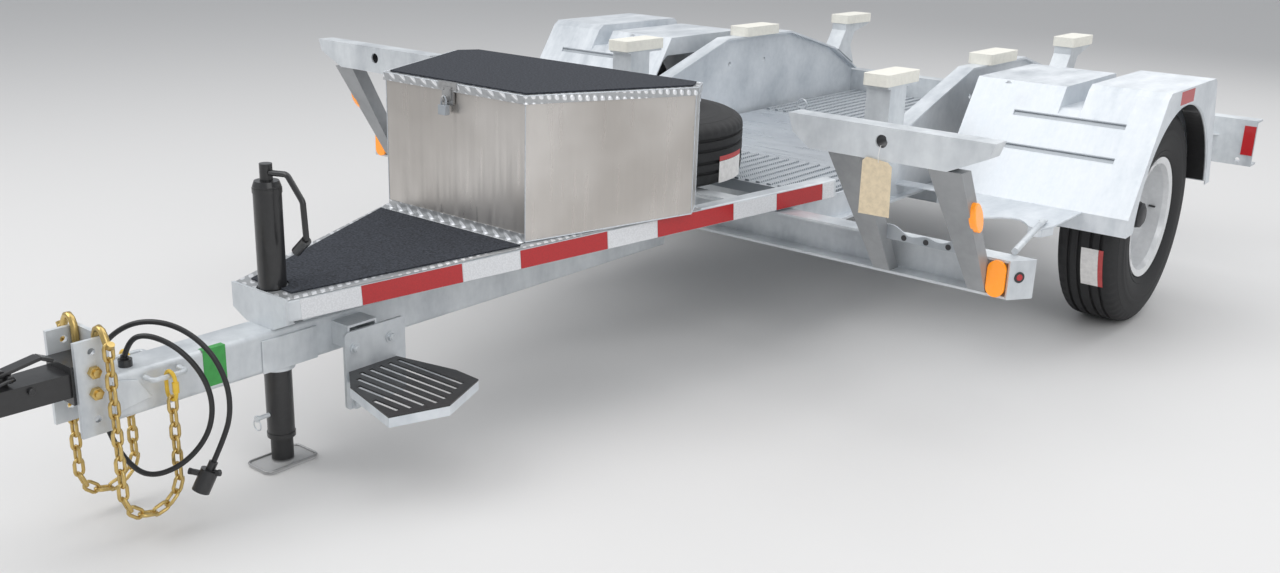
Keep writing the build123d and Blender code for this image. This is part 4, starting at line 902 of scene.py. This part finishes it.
# ---------------------------------------------------------------- fenders: ledges, arch lips, painted shade strips inside the arches, reflectors
SLOPE = math.radians(56)
LIP_R = 0.3925
SHADE_STRIP_R = 0.3940
SLOPE_UP = Vector((0, math.cos(SLOPE), math.sin(SLOPE)))
SLOPE_OUT = Vector((0, -SLOPE_UP.z, SLOPE_UP.y))
ledges = Batch()
for s in (1, -1):
    for z in (0.604, 0.704):
        middle = Vector((0, LIP_Y + (z - 0.451) / math.tan(SLOPE), z)) - SLOPE_OUT * 0.0052
        across = Vector((s, 0, 0))
        ledges.bar(middle + across * 0.815, middle + across * 1.201, SLOPE_UP, 0.024, 0.002)
        nose = middle + SLOPE_OUT * 0.0052 + SLOPE_UP * 0.0095
        ledges.rod(nose + across * 0.823, nose + across * 1.193, 0.0028, 10)
# The ledges take the darker zinc: painted shade in the grooves.
ledges.done("fender_ledges", "galv_dark", "chassis", "galvanised", 40)

lips = Batch()
shade_strips = Batch()
for s in (1, -1):
    arc = [math.radians(a) for a in range(11, 166, 3)]
    lips.tube([(s * 1.2895, AXLE_Y + LIP_R * math.cos(a), WHEEL_Z + LIP_R * math.sin(a)) for a in arc], 0.0045, 8)
    # Black strips inside the arch: painted shade on the inner face of the fender skirt.
    for a0, a1 in zip(arc, arc[1:]):
        quad = [(s * x, AXLE_Y + SHADE_STRIP_R * math.cos(a), WHEEL_Z + SHADE_STRIP_R * math.sin(a))
                for x, a in ((1.225, a0), (1.286, a0), (1.286, a1), (1.225, a1))]
        middle = (a0 + a1) / 2
        shade_strips.prism(quad, (0, 0.002 * math.cos(middle), 0.002 * math.sin(middle)))
lips.done("arch_lips", "galv", "chassis", "galvanised", 50)
shade_strips.done("arch_shade_strips", "black", "chassis", "black_paint")
reflectors = Batch()
for s in (1, -1):
    x0, x1 = sorted((s * 1.2940, s * 1.2951))
    reflectors.box((x0, 1.060, 0.765), (x1, 1.205, 0.809))
    x0, x1 = sorted((s * 1.250, s * 1.2930))
    reflectors.box((x0, 2.1950, 0.436), (x1, 2.1979, 0.552))
reflectors.done("side_reflectors", "tape_red", "chassis", "red_lens")

# ---------------------------------------------------------------- rear: gussets on the bumper
gussets = Batch()
for s in (1, -1):
    for x0, x1, y, z in ((1.020, 1.160, 2.080, 0.500), (0.540, 0.640, 2.090, 0.470)):
        gussets.prism([(s * x0, 2.1975, z), (s * x1, 2.1975, z), (s * x0, y, z)], (0, 0, 0.006))
gussets.done("bumper_gussets", "galv", "chassis", "galvanised", None, 0.001)

# ---------------------------------------------------------------- deck: eye rings, brackets at the rails' ends
rings = Batch()
for x, y in ((-0.382, 1.520), (0.382, 1.520), (-0.40, 0.52), (0.40, 0.52)):
    rings.tube(ring_points((x, y, 0.500), (1, 0, 0), (0, 0, 1), 0.022, 28), 0.0045, 10, True)
    rings.rod((x - 0.016, y, 0.481), (x + 0.016, y, 0.481), 0.009, 16)
rings.done("deck_rings", "galv", "chassis", "hardware_steel", 50)
ends = Batch()
END_PLAN = ((0.443, 0.062), (0.548, 0.062), (0.548, 0.172), (0.508, 0.172), (0.478, 0.162), (0.456, 0.140),
            (0.445, 0.108))
for s in (1, -1):
    ends.prism([(s * x, y, 0.514) for x, y in END_PLAN], (0, 0, 0.006))
    hexagon(ends, (s * 0.497, 0.112, 0.520), (0, 0, 1), 0.012, 0.008, 0.021)
ends.done("rail_end_brackets", "galv_dark", "chassis", "galvanised", 40, 0.001)

# ---------------------------------------------------------------- blank labels on the tyres
def tread_label(name, centre, axis, u, start, end, a0, a1, radius, body, key, slot):
    """A patch that follows the tread between two angles, in degrees from u."""
    centre, axis, u = Vector(centre), Vector(axis), Vector(u)
    v = axis.cross(u)
    patch = Batch()
    steps = 10
    for i in range(steps):
        t0 = math.radians(start + (end - start) * i / steps)
        t1 = math.radians(start + (end - start) * (i + 1) / steps)
        r0 = u * math.cos(t0) + v * math.sin(t0)
        r1 = u * math.cos(t1) + v * math.sin(t1)
        quad = [centre + axis * a0 + r0 * radius, centre + axis * a1 + r0 * radius,
                centre + axis * a1 + r1 * radius, centre + axis * a0 + r1 * radius]
        patch.prism(quad, (r0 + r1) * 0.0001)
    patch.done(name, key, body, slot, 30)


LABEL_R = TYRE_R + 0.0002
for name, a0, a1, key, slot in (("wheel_label", -0.010, 0.046, "label", "pad_plastic"),
                                ("wheel_label_band", 0.0465, 0.062, "label_red", "red_lens")):
    tread_label(name, (WHEEL_X, AXLE_Y, WHEEL_Z), (1, 0, 0), (0, -1, 0), 8, 30, a0, a1, LABEL_R,
                "wheel_left", key, slot)
for name, a0, a1, key, slot in (("spare_label", -0.088, -0.020, "label", "pad_plastic"),
                                ("spare_label_band", -0.019, -0.004, "label_red", "red_lens")):
    tread_label(name, SPARE, (0, 0, 1), (1, 0, 0), -1.5, 23, a0, a1, LABEL_R, "chassis", key, slot)

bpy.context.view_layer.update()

# ---------------------------------------------------------------- studio
bpy.ops.mesh.primitive_plane_add(size=60, location=(0, 0, -0.0006))
floor = bpy.context.object
floor.name = "floor"
floor.data.materials.append(material("floor_paint", (0.74, 0.73, 0.72), 0.65)[0])

world = bpy.data.worlds.new("sky")
scene.world = world
world.use_nodes = True
world.node_tree.nodes["Background"].inputs["Color"].default_value = (0.90, 0.93, 0.97, 1)
world.node_tree.nodes["Background"].inputs["Strength"].default_value = 0.55
# Name, place in metres, size in metres and power in watts.
LAMPS = (("key", (-3.0, -4.5, 5.5), 5.0, 190), ("fill", (5.5, -2.0, 3.5), 5.0, 110),
         ("back", (1.0, 6.5, 5.0), 5.0, 110), ("top", (0.0, 0.5, 6.0), 6.0, 130))
for name, place, size, power in LAMPS:
    data = bpy.data.lights.new(name, "AREA")
    data.size = size
    data.energy = power
    lamp = bpy.data.objects.new(name, data)
    scene.collection.objects.link(lamp)
    lamp.location = place
    lamp.rotation_mode = "QUATERNION"
    lamp.rotation_quaternion = (Vector((0, 0, 0.4)) - Vector(place)).to_track_quat("-Z", "Y")
